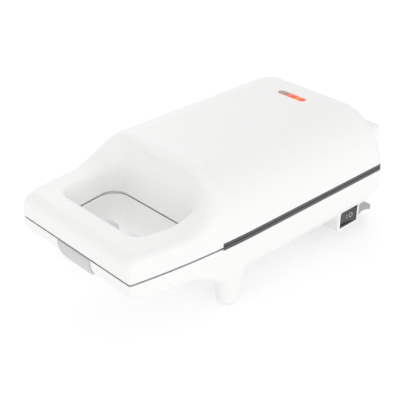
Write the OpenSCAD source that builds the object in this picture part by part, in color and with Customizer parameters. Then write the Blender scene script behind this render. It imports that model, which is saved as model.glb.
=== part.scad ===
// Sandwich toaster for one slice: a hinged lid over a tub, with a loop handle at the front.
// Millimetres, +Z up, +Y to the rear. The origin lies on the table below the middle of the toaster.
// Inside from_front() Y runs back from the front of the handle and Z up from the parting plane.

/* [Body] */
// Width across the cooking end
body_w = 130; // [126:1:138]
// Width across the front of the handle
front_w = 111.5; // [106:0.5:115]
// Length over which the sides draw in towards the front
taper_len = 100; // [90:1:120]
// Length from the front of the handle to the rear wall
body_len = 233; // [230:1:245]
// Radius of the rear corners seen from above
rear_corner_r = 6; // [4.5:0.5:8]
// Radius of the front corners seen from above
front_corner_r = 1.4; // [1:0.1:3]
// Wall of the lid and the casing
wall = 2.5; // [2.1:0.1:2.8]
// Gap between the two halves of the handle
seam_gap = 1; // [0.6:0.1:1.2]

/* [Lid] */
// Height of the lid above the parting plane
lid_h = 44; // [42:1:50]
// Height of the handle above the parting plane
handle_h = 17; // [16:0.5:19]
// Radius of the lid's long shoulders
shoulder_r = 35; // [26:1:38]
// Radius along the front of the handle
lid_front_r = 8; // [5:0.5:10]
// Radius along the rear of the lid
lid_rear_r = 18; // [14:1:20]
// Distance from the front to the foot of the scooped wall
scoop_y = 67.2; // [66:0.2:69]
// Radius of the hollow at the foot of the scooped wall
scoop_r = 24; // [20:1:25]
// Angle by which the scooped wall leans back
scoop_lean = 10; // [6:1:12]
// Radius of the rim above the scooped wall
scoop_rim_r = 5; // [3:0.5:5]

/* [Casing] */
// Depth of the tub below the parting plane
tub_depth = 37; // [36:0.5:40]
// Depth of the handle below the parting plane
handle_depth = 16.5; // [16:0.5:18]
// Radius of the tub's long lower edges
tub_side_r = 25; // [20:1:26]
// Radius along the lower front edge of the handle
handle_front_r = 13; // [11:0.5:14]
// Distance from the front to where the handle drops to the tub
throat_y = 58; // [56:1:62]
// Length of the slope between the handle and the tub
throat_len = 14; // [13:0.5:18]
// Radius at both ends of the slope
throat_r = 12; // [8:1:13]
// Radius of the tub's lower rear edge
tub_rear_r = 6; // [4:1:8]

/* [Finger hole] */
// Distance from the front to the near edge of the hole
hole_front = 19.5; // [18.5:0.5:21]
// Distance from the front to the far edge of the hole
hole_rear = 68; // [67:0.5:69]
// Width of the hole at its near edge
hole_front_w = 75; // [70:1:76]
// Width of the hole at its far edge
hole_rear_w = 88; // [84:1:89]
// Radius of the near corners
hole_front_r = 6; // [4:0.5:8]
// Radius of the far corners
hole_rear_r = 13; // [10:0.5:15]
// Radius of the hole's upper edge at the front
hole_flare_r = 5; // [3:0.5:5]

/* [Plates] */
// Thickness of the lower plate's rim
lower_rim_t = 2.3; // [2:0.1:2.8]
// Thickness of the upper plate's rim
upper_rim_t = 2.7; // [2.4:0.1:3.2]
// Distance by which the rims stand back from the mouldings
rim_inset = 0.4; // [0.2:0.1:0.8]
// Distance from the front to the rims
rim_front = 69.2; // [68.6:0.1:69.8]
// Width of the rim on either side of the bread pocket
pocket_side = 9; // [8.5:0.5:12]
// Distance between the bread pocket and the rear wall
pocket_rear = 21; // [20:0.5:24]
// Distance from the front to the pocket
pocket_front = 84; // [83:0.5:86]
// Depth of one pocket
pocket_depth = 12; // [10:0.5:13]
// Radius of the pocket's corners
pocket_r = 14; // [10:1:18]
// Draw of the pocket's walls from its mouth to its floor
pocket_draft = 4; // [3:0.5:5]
// Thickness of the cast plates
plate_t = 2.5; // [2.2:0.1:3]
// Width of the flat that crimps the crust
crimp_w = 3.6; // [3:0.2:4]
// Depth of the flat that crimps the crust
crimp_depth = 1; // [0.6:0.1:1.4]
// Height of the ridge that halves the sandwich
ridge_h = 10; // [6:0.5:11]
// Width of the foot of the ridge
ridge_w = 9; // [7:0.5:11]

/* [Heating] */
// Diameter of the heating elements
heater_d = 6.6; // [6:0.2:7]
// Distance between the legs of an element
heater_span = 60; // [50:1:66]
// Clearance between an element and its plate
heater_fit = 0.25; // [0.15:0.05:0.4]
// Length of the element's cold ends behind the tray
heater_end = 7; // [6:0.5:8]
// Thickness of the reflector trays
tray_t = 0.8; // [0.6:0.1:1]
// Distance between the bottom of a plate and the floor of its tray
tray_depth = 7.7; // [7.4:0.1:8]
// Distance by which a tray stands in from the pocket's edge
tray_inset = 5; // [4:0.5:7]
// Diameter of the thermostat
thermostat_d = 16; // [13:1:18]
// Height of the thermostat
thermostat_h = 7; // [5:0.5:7]

/* [Hinge] */
// Distance of the hinge axis behind the rear wall
hinge_back = 5.2; // [5.2:0.1:5.6]
// Height of the hinge axis above the parting plane
hinge_up = 4; // [3.6:0.1:4.4]
// Radius of the hinge knuckles
knuckle_r = 4.7; // [4.2:0.1:4.7]
// Diameter of the hinge pins
pin_d = 4; // [3:0.2:5]
// Distance from the middle to the inner face of a casing ear
ear_x = 37; // [33:1:38]
// Width of a casing ear
ear_w = 8; // [6:0.5:8]
// Width of a lid knuckle
knuckle_w = 6.5; // [5:0.5:7]
// Depth of the hump behind the lid
hump_depth = 10; // [9.9:0.1:11]
// Height of the hump above the parting plane
hump_h = 26; // [22:1:27]

/* [Latch] */
// Width of the latch
latch_w = 33; // [29:0.5:36]
// Gap on either side of the latch
latch_gap = 0.7; // [0.5:0.1:0.9]
// Radius of the latch's outer face
latch_r = 20; // [18:0.5:22]
// Thickness of the latch's tongue
latch_t = 2.6; // [2:0.1:3]
// Depth of the latch's lower edge below the parting plane
latch_drop = 17.6; // [17:0.1:18.4]
// Height by which the lower edge rises towards its ends
latch_bow = 4.6; // [3:0.2:6]
// Radius of the latch's lower corners
latch_corner_r = 3; // [2:0.5:4]
// Distance from the front to the latch pin
latch_y = 10; // [9.5:0.1:10.5]
// Depth of the latch pin below the parting plane
latch_z = 8; // [7.6:0.1:8.4]
// Diameter of the latch pin
latch_pin_d = 3; // [2.4:0.2:3.6]
// Width of the hook
hook_w = 16; // [12:0.5:18]
// Height of the hook above the parting plane
hook_h = 7.5; // [7:0.1:9]
// Reach of the hook's nose
nose_reach = 1.7; // [1.4:0.1:2]

/* [Switch] */
// Distance from the front to the middle of the switch
switch_y = 201.9; // [198:0.1:203]
// Depth of the switch's middle below the parting plane
switch_z = 33; // [32.5:0.1:33.5]
// Distance of the switch face inside the casing's widest side
switch_in = 4.8; // [4:0.1:6]
// Width of the switch opening
switch_w = 19.4; // [18:0.1:20]
// Height of the switch opening
switch_h = 13.8; // [12:0.1:14]
// Depth of the switch body
switch_depth = 13; // [11:0.5:14]
// Wall of the switch body
switch_wall = 1.2; // [1:0.1:1.3]
// Wall of the housing round the switch
housing_wall = 2.1; // [1.8:0.1:2.4]
// Angle of the rocker to either side
rocker_tilt = 6.5; // [4:0.5:7]

/* [Feet] */
// Height of the parting plane above the table
seam_h = 56; // [55:0.5:60]
// Distance of the front legs from the casing's widest sides
leg_in = 14; // [13:0.5:17]
// Distance from the front to the front legs
leg_y = 86.6; // [85:0.2:88]
// Radius of a front leg where it leaves the tub
leg_top_r = 10; // [9:0.5:11]
// Radius of a front leg near the table
leg_r = 7.3; // [6.5:0.1:8]
// Radius of the front pads
front_pad_r = 4.5; // [3.5:0.1:5]
// Distance of the rear feet from the middle
foot_x = 25; // [22:0.5:26]
// Distance from the front to the rear feet
foot_y = 214; // [213:0.2:216]
// Radius of a rear foot
foot_r = 7; // [6:0.1:7.4]
// Height of a pad
pad_h = 2; // [1.6:0.1:2.4]
// Height by which a pad stands below its foot
pad_out = 0.5; // [0.3:0.1:0.8]

/* [Rear stand] */
// Width of the rear stand
stand_w = 100; // [92:1:104]
// Width of the stand between the switch housing and its own feet
stand_tongue_w = 66; // [64:1:67]
// Thickness of the stand
stand_t = 4.5; // [4:0.1:5]
// Depth of the stand's tip below the parting plane
stand_tip = 47.9; // [47.4:0.1:48.4]
// Distance from the front to the stand's lip
lip_y = 228.4; // [227:0.2:229]

/* [Lamps] */
// Distance from the front to the window
lens_y = 201; // [196:0.5:203]
// Length of the window
lens_l = 25.2; // [22:0.2:28]
// Width of the window
lens_w = 6.2; // [5.6:0.1:7]
// Distance of each lamp from the middle of the window
lamp_x = 6.4; // [5.6:0.1:7]
// Radius of a lamp
lamp_r = 2.5; // [2:0.1:2.6]
// Height of the lamp holder
holder_h = 11; // [9:0.5:12]

/* [Screws] */
// Radius of the screws' shanks
screw_r = 1.5; // [1.3:0.1:1.6]
// Radius of the screws' heads
head_r = 2.9; // [2.6:0.1:3]
// Length of the screws
screw_len = 9; // [8:0.5:10]
// Radius of the posts that take the screws
post_r = 3.8; // [3.4:0.1:4]

/* [Fits] */
// Radial clearance of pins, screws and bores
run_fit = 0.05; // [0.03:0.01:0.09]
// Clearance between neighbouring pieces
side_fit = 0.3; // [0.2:0.05:0.4]
// Clearance of inserts in their openings
insert_fit = 0.1; // [0.05:0.01:0.15]

/* [Hidden] */
$fn = 48;

WHITE = "whitesmoke";
DARK = [0.22, 0.22, 0.23];
GREY = "silver";
STEEL = [0.72, 0.73, 0.75];

arc_step = 9;                                  // degrees between the points of a rounded corner
over = 1;                                      // how far a cutting solid runs past a face
axis_y = body_len + hinge_back;                // hinge axis, from the front
overall_len = body_len + hump_depth;
half_gap = seam_gap / 2;
taper = (body_w - front_w) / 2;
side_arc_r = (taper_len * taper_len + taper * taper) / (2 * taper);
cover_t = 2.2;                                 // thickness of the handle covers
cover_fit = 0.2;                               // gap round the handle covers
hump_r = 3;
csk_h = 1.6;                                   // height of a screw's countersunk head

// Plates and trays
pocket_w = body_w - 2 * pocket_side;
pocket_len = body_len - pocket_front - pocket_rear;
pocket_y = pocket_front + pocket_len / 2;
dish_w = pocket_w + 2 * plate_t;
dish_len = pocket_len + 2 * plate_t;
dish_front = pocket_front - plate_t;
dish_depth = pocket_depth + plate_t;
tray_front = pocket_front + tray_inset;
tray_rear = pocket_front + pocket_len - tray_inset;
tray_w = pocket_w - 2 * tray_inset;
tray_r = pocket_r - 4;
tray_top = dish_depth + tray_depth + tray_t;
rim_rear = body_len - rim_inset;
plate_screw_side = 15;                         // from the casing's side to a plate's screw
plate_screw_front = 5.5;                       // from the rim's front to its screws
plate_screw_rear = 7.9;                        // from the rim's rear to its screws
ridge_top = 2.4;                               // width of the ridge's crest

// Heating
heater_z = dish_depth + heater_fit + heater_d / 2;
heater_rear = tray_rear + heater_end;
heater_bend = 6;                               // from the tray's front to the element's bend
heater_bend_y = tray_front + heater_bend + heater_d / 2 + heater_span / 2;
heater_pin = 4;                                // length of an element's terminal
fuse_y = pocket_y + 20;
fuse_r = 2.2;
fuse_l = 24;
fuse_lead_r = 0.7;
fuse_lead_l = 36;

// Screws of the handle covers: one in each arm and two beside the latch
arm_screw_y = 40;
front_screw_x = 29;

// Latch
cheek_w = 3;
cheek_x = latch_w / 2 + latch_gap;             // inner face of a cheek beside the latch
latch_pin_l = 2 * (cheek_x + cheek_w - 0.6);
latch_top = -half_gap - 0.7;                   // upper edge of the tongue
latch_hub = 1.7;                               // wall round the latch pin
hook_y = 8.5;                                  // front of the latch's hook
hook_t = 2;
nose_h = 2;
hook_rib = 3;                                  // width of the ribs behind the tongue
keeper_y = hook_y + hook_t + nose_reach + 0.4; // front of the keeper
keeper_t = 2.8;
nose_room = 0.7;                               // between the nose and the keeper below it
keeper_top = hook_h - nose_h - nose_room;
slot_w = hook_w + 2;

// Feet and stand
leg_x = body_w / 2 - leg_in;
leg_h = seam_h - tub_depth;                    // clear height below the tub
stand_front = switch_y + switch_w / 2 + housing_wall + 1;
stand_screws_y = 222;
stand_screws_x = 36;

// Switch, gland and wires
switch_x = body_w / 2 - switch_in;
pivot_x = switch_x - 3.4;
housing_room = 12;                             // behind the switch
housing_x = switch_x - switch_depth - housing_room - housing_wall;
wire_r = 1.2;
wire_fit = 0.4;                                // between a wire's end and what it joins
wire_z = -tub_depth + wall + 4.5;
wire_pass = 5;                                 // height of the openings that wires pass through
gland_x = -22;
gland_z = -20;
gland_r = 5;
gland_neck = 8.8;                              // side of the gland's square neck in the wall
gland_collar = 2.1;                            // thickness of the collars on either side of the wall
cord_r = 3.2;
block_w = 30;
block_l = 10;
block_gap = 3;                                 // between the terminal block and the rear wall
block_y = body_len - wall - block_gap - block_l;

// Lamps
lens_flange_t = 1.2;
lens_flange = 2;                               // reach of the flange round the window
holder_wall = 3;
holder_floor = 1.5;
holder_top = lid_h - wall - insert_fit - lens_flange_t;
lid_wire_z = dish_depth + 3;                   // where the lid's wires leave it
lid_wire_step = 3.2;                           // between neighbouring wires

// ---------------------------------------------------------------- outlines

function unit(v) = v / norm(v);
function turn(p, a) = [p[0] * cos(a) - p[1] * sin(a), p[0] * sin(a) + p[1] * cos(a)];

// Arc of radius r that replaces the corner b between its neighbours a and c
function corner(a, b, c, r) =
    r <= 0 ? [b] :
    let (u = unit(a - b), v = unit(c - b),
         half = acos(max(-1, min(1, u * v))) / 2,
         middle = b + unit(u + v) * (r / sin(half)),
         start = b + u * (r / tan(half)) - middle,
         sweep = 180 - 2 * half,
         way = sign(u[0] * v[1] - u[1] * v[0]),
         n = max(2, ceil(sweep / arc_step)))
    [for (i = [0:n]) middle + turn(start, -way * sweep * i / n)];

// Closed outline with each corner rounded by its own radius
function rounded(points, radii) =
    let (n = len(points))
    [for (i = [0:n - 1]) each corner(points[(i + n - 1) % n], points[i], points[(i + 1) % n], radii[i])];

function box_points(w, l, y) = [[-w / 2, y], [w / 2, y], [w / 2, y + l], [-w / 2, y + l]];
function rounded_box(w, l, y, r) = rounded(box_points(w, l, y), [r, r, r, r]);
function mirrored(points) = [for (i = [len(points) - 1:-1:0]) [-points[i][0], points[i][1]]];

// Half width of the toaster at a distance from the front: an arc that runs out into straight sides
function side_x(y) =
    y >= taper_len ? body_w / 2 :
    body_w / 2 - side_arc_r + sqrt(side_arc_r * side_arc_r - (taper_len - y) * (taper_len - y));

// Outline of the toaster from above, drawn in by d and starting at y0
function plan(d, y0, front_r) =
    let (n = 8,
         side = [for (i = [0:n]) let (y = y0 + (taper_len - y0) * i / n) [side_x(y) - d, y]],
         rear = [[body_w / 2 - d, body_len - d]],
         half_outline = concat(side, rear),
         radii = concat([front_r], [for (i = [1:n]) 0], [rear_corner_r - d]))
    rounded(concat(half_outline, mirrored(half_outline)),
            concat(radii, [for (i = [len(radii) - 1:-1:0]) radii[i]]));

// Outline of the finger hole, widened by d and at its rear by rear_d
function hole(d, rear_d) =
    let (f = hole_front_w / 2 + d, r = hole_rear_w / 2 + rear_d)
    rounded([[-f, hole_front - d], [f, hole_front - d], [r, hole_rear + rear_d], [-r, hole_rear + rear_d]],
            [hole_front_r + d, hole_front_r + d, hole_rear_r + rear_d, hole_rear_r + rear_d]);

// Half width of the finger hole at a distance from the front, and the middle of the arm beside it
function hole_x(y) =
    hole_front_w / 2 + (hole_rear_w - hole_front_w) / 2 * (y - hole_front) / (hole_rear - hole_front);
function arm_x(y) = (side_x(y) + hole_x(y)) / 2;

// Distance of the scooped wall from the front at height z, for a lid drawn in by d
function scoop_wall(z, d) = scoop_y + d / cos(scoop_lean) + (z - handle_h) * tan(scoop_lean);

// Side view of the lid, drawn in by d
function lid_side(d) = rounded(
    [[d, -over], [body_len - d, -over], [body_len - d, lid_h - d], [scoop_wall(lid_h - d, d), lid_h - d],
     [scoop_wall(handle_h - d, d), handle_h - d], [d, handle_h - d]],
    [0, 0, lid_rear_r - d, scoop_rim_r - d, scoop_r + d, lid_front_r - d]);

// Front view of the lid, drawn in by d
function lid_front(d) = rounded(
    [[-body_w / 2 + d, -over], [body_w / 2 - d, -over], [body_w / 2 - d, lid_h - d],
     [-body_w / 2 + d, lid_h - d]],
    [0, 0, shoulder_r - d, shoulder_r - d]);

// Side view of the casing, drawn in by d
function base_side(d) =
    let (lean = atan2(tub_depth - handle_depth, throat_len), shift = d * tan(lean / 2))
    rounded(
    [[d, over], [d, -handle_depth + d], [throat_y + shift, -handle_depth + d],
     [throat_y + throat_len + shift, -tub_depth + d], [body_len - d, -tub_depth + d], [body_len - d, over]],
    [0, handle_front_r - d, throat_r + d, throat_r - d, tub_rear_r - d, 0]);

// Front view of the casing, drawn in by d
function base_front(d) = rounded(
    [[-body_w / 2 + d, over], [-body_w / 2 + d, -tub_depth + d], [body_w / 2 - d, -tub_depth + d],
     [body_w / 2 - d, over]],
    [0, tub_side_r - d, tub_side_r - d, 0]);

// ---------------------------------------------------------------- building blocks

module from_front() {
    translate([0, -overall_len / 2, seam_h]) children();
}

// Prism along X of an outline in Y and Z, and along Y of an outline in X and Z
module side_prism(points, x0, x1) {
    translate([x0, 0, 0]) rotate([90, 0, 90]) linear_extrude(x1 - x0) polygon(points);
}
module front_prism(points, y0, y1) {
    translate([0, y1, 0]) rotate([90, 0, 0]) linear_extrude(y1 - y0) polygon(points);
}
module prism(points, z0, z1) {
    translate([0, 0, z0]) linear_extrude(z1 - z0) polygon(points);
}
module box(low, high) {
    translate(low) cube(high - low);
}
module rod_x(y, z, r, x0, x1) {
    translate([x0, y, z]) rotate([0, 90, 0]) cylinder(r = r, h = x1 - x0);
}
module rod_y(x, z, r, y0, y1) {
    translate([x, y0, z]) rotate([-90, 0, 0]) cylinder(r = r, h = y1 - y0);
}
module both_sides() {
    children();
    mirror([1, 0, 0]) children();
}

// Solid between two outlines with the same number of points
module loft(low, z_low, high, z_high) {
    n = len(low);
    points = concat([for (p = low) [p[0], p[1], z_low]], [for (p = high) [p[0], p[1], z_high]]);
    sides = [for (i = [0:n - 1]) each [[i, n + i, n + (i + 1) % n], [i, n + (i + 1) % n, (i + 1) % n]]];
    polyhedron(points, concat([[for (i = [0:n - 1]) i]], sides, [[for (i = [n - 1:-1:0]) n + i]]));
}

// Tube along a route of points, with its ends cut square
module tube(route, r, sides = 8) {
    n = len(route);
    function heading(i) = unit(route[min(i + 1, n - 1)] - route[max(i - 1, 0)]);
    function across(h) = unit(cross(h, abs(h[2]) < 0.9 ? [0, 0, 1] : [1, 0, 0]));
    rings = [for (i = [0:n - 1]) let (h = heading(i), u = across(h), v = cross(h, u))
             for (k = [0:sides - 1]) route[i] + r * (u * cos(360 * k / sides) + v * sin(360 * k / sides))];
    faces = [for (i = [0:n - 2], k = [0:sides - 1])
             let (a = i * sides + k, b = i * sides + (k + 1) % sides)
             each [[a, a + sides, b + sides], [a, b + sides, b]]];
    polyhedron(rings, concat([[for (k = [0:sides - 1]) k]], faces,
                             [[for (k = [sides - 1:-1:0]) (n - 1) * sides + k]]));
}

// Countersunk screw with its head at z = 0 and its point up, and the hole that takes it
module screw(length = screw_len, fit = 0) {
    rotate_extrude() polygon([[0, 0], [head_r + fit, 0], [screw_r + fit, csk_h], [screw_r + fit, length + fit],
                              [0, length + fit]]);
}
module at_plate_corners() {
    for (y = [rim_front + plate_screw_front, rim_rear - plate_screw_rear])
        both_sides() translate([body_w / 2 - plate_screw_side, y, 0]) children();
}
module at_cover_screws() both_sides() {
    translate([arm_x(arm_screw_y), arm_screw_y, 0]) children();
    translate([front_screw_x, hole_front / 2, 0]) children();
}

// ---------------------------------------------------------------- lid

module lid_block(d) {
    intersection() {
        prism(plan(d, d, front_corner_r), -over, lid_h + over);
        front_prism(lid_front(d), -over, body_len + over);
        side_prism(lid_side(d), -body_w, body_w);
    }
}

module ear_slot() {
    box([ear_x - 0.4, body_len, -over], [ear_x + ear_w + 0.4, overall_len + over, hinge_up + 7.8]);
}

// Cutter that rounds the finger hole's upper edge, most at the front and not at all at the rear
module hole_flare() {
    steps = 5;
    function out(i) = hole_flare_r * (1 - cos(90 * i / steps));
    function up(i) = handle_h - hole_flare_r * (1 - sin(90 * i / steps));
    for (i = [0:steps - 1]) loft(hole(out(i), 0), up(i), hole(out(i + 1), 0), up(i + 1));
}

// Hump behind the lid that hides the hinge, with a knuckle at each end
module hinge_hump() {
    end_x = ear_x + ear_w + 0.5 + knuckle_w;
    low = hinge_up + 2;
    difference() {
        union() {
            side_prism(rounded([[body_len - wall, low], [overall_len, low], [overall_len, hump_h - 2.5],
                                [overall_len - 6, hump_h], [body_len - wall, hump_h]],
                               [0, 0, hump_r, hump_r, 0]), -end_x, end_x);
            both_sides() {
                rod_x(axis_y, hinge_up, knuckle_r, end_x - knuckle_w, end_x);
                box([end_x - knuckle_w, axis_y - knuckle_r, hinge_up], [end_x, axis_y + knuckle_r, low + 1]);
            }
        }
        side_prism(rounded([[body_len, low + wall], [overall_len - wall, low + wall],
                            [overall_len - wall, hump_h - 5], [overall_len - wall - 4, hump_h - wall],
                            [body_len, hump_h - wall]], [0, 0, 1, 1, 0]), -ear_x + 3, ear_x - 3);
        both_sides() {
            ear_slot();
            rod_x(axis_y, hinge_up, pin_d / 2 + run_fit, ear_x, end_x - 1.2);
        }
    }
}

module lid_cover() color(WHITE) from_front() {
    difference() {
        union() {
            difference() {
                lid_block(0);
                difference() {
                    lid_block(wall);
                    prism(hole(wall, wall), -2 * over, lid_h + over);
                    at_plate_corners() cylinder(r = post_r, h = lid_h);
                    at_cover_screws() cylinder(r = post_r, h = lid_h);
                }
            }
            hinge_hump();
        }
        prism(hole(0, 0), -2 * over, lid_h + over);
        hole_flare();
        box([-body_w, -over, -2 * over], [body_w, overall_len, half_gap]);
        difference() {
            box([-body_w, rim_front - side_fit, -2 * over], [body_w, body_len + over, half_gap + upper_rim_t]);
            prism(hole(wall, wall), -3 * over, lid_h);
            both_sides()
                box([ear_x, body_len, -2 * over], [body_w, overall_len, half_gap + upper_rim_t + over]);
        }
        prism(plan(wall, wall, front_corner_r), -over, half_gap + cover_t);
        at_plate_corners() cylinder(r = screw_r + run_fit, h = half_gap + screw_len + run_fit);
        at_cover_screws() cylinder(r = screw_r + run_fit, h = half_gap + screw_len + run_fit);
        prism(pill(lens_l + 2 * insert_fit, lens_w + 2 * insert_fit), lid_h - 2 * wall, lid_h + over);
        box([-2 * lid_wire_step, body_len - 2 * wall, lid_wire_z - wire_pass / 2],
            [2 * lid_wire_step, body_len + wall, lid_wire_z + wire_pass / 2]);
    }
}

// Cover of the lid's handle loop, with the keeper for the latch
module upper_handle_cover() color(WHITE) from_front() difference() {
    union() {
        intersection() {
            prism(plan(wall + cover_fit, wall + cover_fit, front_corner_r), half_gap, half_gap + cover_t);
            box([-body_w, 0, 0], [body_w, rim_front - 2 * side_fit, handle_h]);
        }
        box([-hook_w / 2, keeper_y, half_gap], [hook_w / 2, keeper_y + keeper_t, keeper_top]);
    }
    prism(hole(wall + cover_fit, wall + cover_fit), -over, handle_h);
    box([-slot_w / 2, 0, -over], [slot_w / 2, keeper_y, handle_h]);
    at_cover_screws() translate([0, 0, half_gap]) screw(fit = run_fit);
}

module upper_cover_screws() color(STEEL) from_front() {
    at_cover_screws() translate([0, 0, half_gap]) screw();
}

// ---------------------------------------------------------------- plates and heating, drawn for the lid

// Rim, dish and lugs of a cooking plate, with its mouth at z0
module plate_body(rim_t, z0) {
    difference() {
        union() {
            difference() {
                intersection() {
                    prism(plan(rim_inset, rim_inset, front_corner_r), z0, z0 + rim_t);
                    box([-body_w, rim_front, z0], [body_w, body_len, z0 + rim_t]);
                }
                prism(hole(wall + side_fit, wall + side_fit), -over, handle_h);
            }
            loft(rounded_box(dish_w, dish_len, dish_front, pocket_r), z0 + 0.5,
                 rounded_box(dish_w - 2 * pocket_draft, dish_len - 2 * pocket_draft, dish_front + pocket_draft,
                             pocket_r), dish_depth);
        }
        loft(rounded_box(pocket_w, pocket_len, pocket_front, pocket_r), z0 - 0.1,
             rounded_box(pocket_w - 2 * pocket_draft, pocket_len - 2 * pocket_draft,
                         pocket_front + pocket_draft, pocket_r), pocket_depth);
        prism(rounded_box(pocket_w + 2 * crimp_w, pocket_len + 2 * crimp_w, pocket_front - crimp_w,
                          pocket_r + crimp_w), z0 - over, z0 + crimp_depth);
        at_plate_corners() translate([0, 0, z0]) screw(fit = run_fit);
    }
    side_prism([[pocket_y - ridge_w / 2, pocket_depth + 0.2],
                [pocket_y - ridge_top / 2, pocket_depth - ridge_h],
                [pocket_y + ridge_top / 2, pocket_depth - ridge_h],
                [pocket_y + ridge_w / 2, pocket_depth + 0.2]],
               -pocket_w / 2 + pocket_draft / 2, pocket_w / 2 - pocket_draft / 2);
}

module heater() {
    both_sides() translate([heater_span / 2, heater_bend_y, heater_z]) rotate([-90, 0, 0])
        cylinder(d = heater_d, h = heater_rear - heater_bend_y);
    translate([0, heater_bend_y, heater_z]) rotate([0, 0, 180])
        rotate_extrude(angle = 180) translate([heater_span / 2, 0]) circle(d = heater_d);
    both_sides() translate([heater_span / 2, heater_rear, heater_z]) rotate([-90, 0, 0])
        cylinder(d = heater_d / 2, h = heater_pin);
}

module reflector() {
    difference() {
        prism(rounded_box(tray_w, tray_rear - tray_front, tray_front, tray_r), dish_depth, tray_top);
        prism(rounded_box(tray_w - 2 * tray_t, tray_rear - tray_front - 2 * tray_t, tray_front + tray_t,
                          tray_r - tray_t), dish_depth - over, tray_top - tray_t);
        both_sides() translate([heater_span / 2, tray_rear - 3, heater_z]) rotate([-90, 0, 0])
            cylinder(d = heater_d + 2 * side_fit, h = 6);
    }
}

module upper_plate() color(DARK) from_front() plate_body(upper_rim_t, half_gap);
module upper_plate_screws() color(STEEL) from_front() at_plate_corners() translate([0, 0, half_gap]) screw();
module upper_heater() color(STEEL) from_front() heater();
module upper_reflector() color(STEEL) from_front() reflector();
module lower_plate() color(DARK) from_front() mirror([0, 0, 1]) plate_body(lower_rim_t, 0);
module lower_plate_screws() color(STEEL) from_front() mirror([0, 0, 1]) at_plate_corners() screw();
module lower_heater() color(STEEL) from_front() mirror([0, 0, 1]) heater();
module lower_reflector() color(STEEL) from_front() mirror([0, 0, 1]) reflector();

module thermostat() color(STEEL) from_front() {
    translate([0, pocket_y, -dish_depth - insert_fit - thermostat_h])
        cylinder(d = thermostat_d, h = thermostat_h);
}

module thermal_fuse() color("beige") from_front() {
    rod_x(fuse_y, dish_depth + side_fit + fuse_r, fuse_r, -fuse_l / 2, fuse_l / 2);
    rod_x(fuse_y, dish_depth + side_fit + fuse_r, fuse_lead_r, -fuse_lead_l / 2, fuse_lead_l / 2);
}

// ---------------------------------------------------------------- lamps

function pill(l, w) = rounded([[-l / 2, lens_y - w / 2], [l / 2, lens_y - w / 2], [l / 2, lens_y + w / 2],
                               [-l / 2, lens_y + w / 2]], [for (i = [1:4]) w / 2 - 0.01]);

module lamp_lens() color([0.9, 0.3, 0.15]) from_front() {
    prism(pill(lens_l, lens_w), lid_h - wall - insert_fit - 0.5, lid_h);
    prism(pill(lens_l + 2 * lens_flange, lens_w + 2 * lens_flange), holder_top, holder_top + lens_flange_t);
}

module lamp_holder() color("beige") from_front() difference() {
    prism(rounded_box(lens_l + 2 * holder_wall, lens_w + 2 * holder_wall, lens_y - lens_w / 2 - holder_wall, 2),
          holder_top - holder_h, holder_top);
    for (x = [-lamp_x, lamp_x])
        translate([x, lens_y, holder_top - holder_h + holder_floor])
            cylinder(r = lamp_r + insert_fit, h = holder_h);
}

module lamp(x) {
    low = holder_top - holder_h + holder_floor;
    high = holder_top - lamp_r;
    translate([x, lens_y, low]) cylinder(r = lamp_r, h = high - low);
    translate([x, lens_y, high]) sphere(r = lamp_r);
}
module power_lamp() color("red") from_front() lamp(lamp_x);
module ready_lamp() color("green") from_front() lamp(-lamp_x);

// ---------------------------------------------------------------- casing

module base_block(d) {
    intersection() {
        prism(plan(d, d, front_corner_r), -tub_depth - over, over);
        front_prism(base_front(d), -over, body_len + over);
        side_prism(base_side(d), -body_w, body_w);
    }
}

module front_leg() {
    translate([leg_x, leg_y, -seam_h]) rotate_extrude()
        polygon(concat([[0, pad_out]],
                       [for (a = [0:15:75]) [leg_r - 2.5 + 2.5 * sin(a), pad_out + 2.5 - 2.5 * cos(a)]],
                       [[leg_top_r, leg_h + 4], [leg_top_r, leg_h + 8], [0, leg_h + 8]]));
}

// Housing that carries the rocker switch at the side of the tub
module switch_housing() {
    box([housing_x, switch_y - switch_w / 2 - housing_wall, -switch_z - switch_h / 2 - housing_wall],
        [switch_x, switch_y + switch_w / 2 + housing_wall, -switch_z + switch_h / 2 + housing_wall]);
}
module switch_opening() {
    box([housing_x + housing_wall, switch_y - switch_w / 2, -switch_z - switch_h / 2],
        [switch_x + over, switch_y + switch_w / 2, -switch_z + switch_h / 2]);
    box([housing_x - over, switch_y - wire_pass, wire_z - wire_pass / 2],
        [housing_x + housing_wall + over, switch_y + wire_pass, wire_z + wire_pass / 2]);
}

module hinge_ear() {
    rod_x(axis_y, hinge_up, knuckle_r, ear_x, ear_x + ear_w);
    side_prism([[axis_y - knuckle_r, hinge_up], [axis_y + knuckle_r, hinge_up],
                [axis_y + knuckle_r, -6], [body_len - 1, -24],
                [body_len - 1, -lower_rim_t - 0.5], [axis_y - knuckle_r, -lower_rim_t - 0.5]],
               ear_x, ear_x + ear_w);
}

module latch_window() {
    box([-cheek_x, -over, -handle_depth - over], [cheek_x, hole_front - wall - 3.2, over]);
}

module cheeks() {
    both_sides() side_prism([[wall / 2, -cover_t - half_gap], [hole_front - wall / 2, -cover_t - half_gap],
                             [hole_front - wall / 2, -handle_depth + 1], [handle_front_r, -handle_depth + 1],
                             [wall, -handle_depth + handle_front_r - 2]],
                            cheek_x, cheek_x + cheek_w);
}

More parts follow.
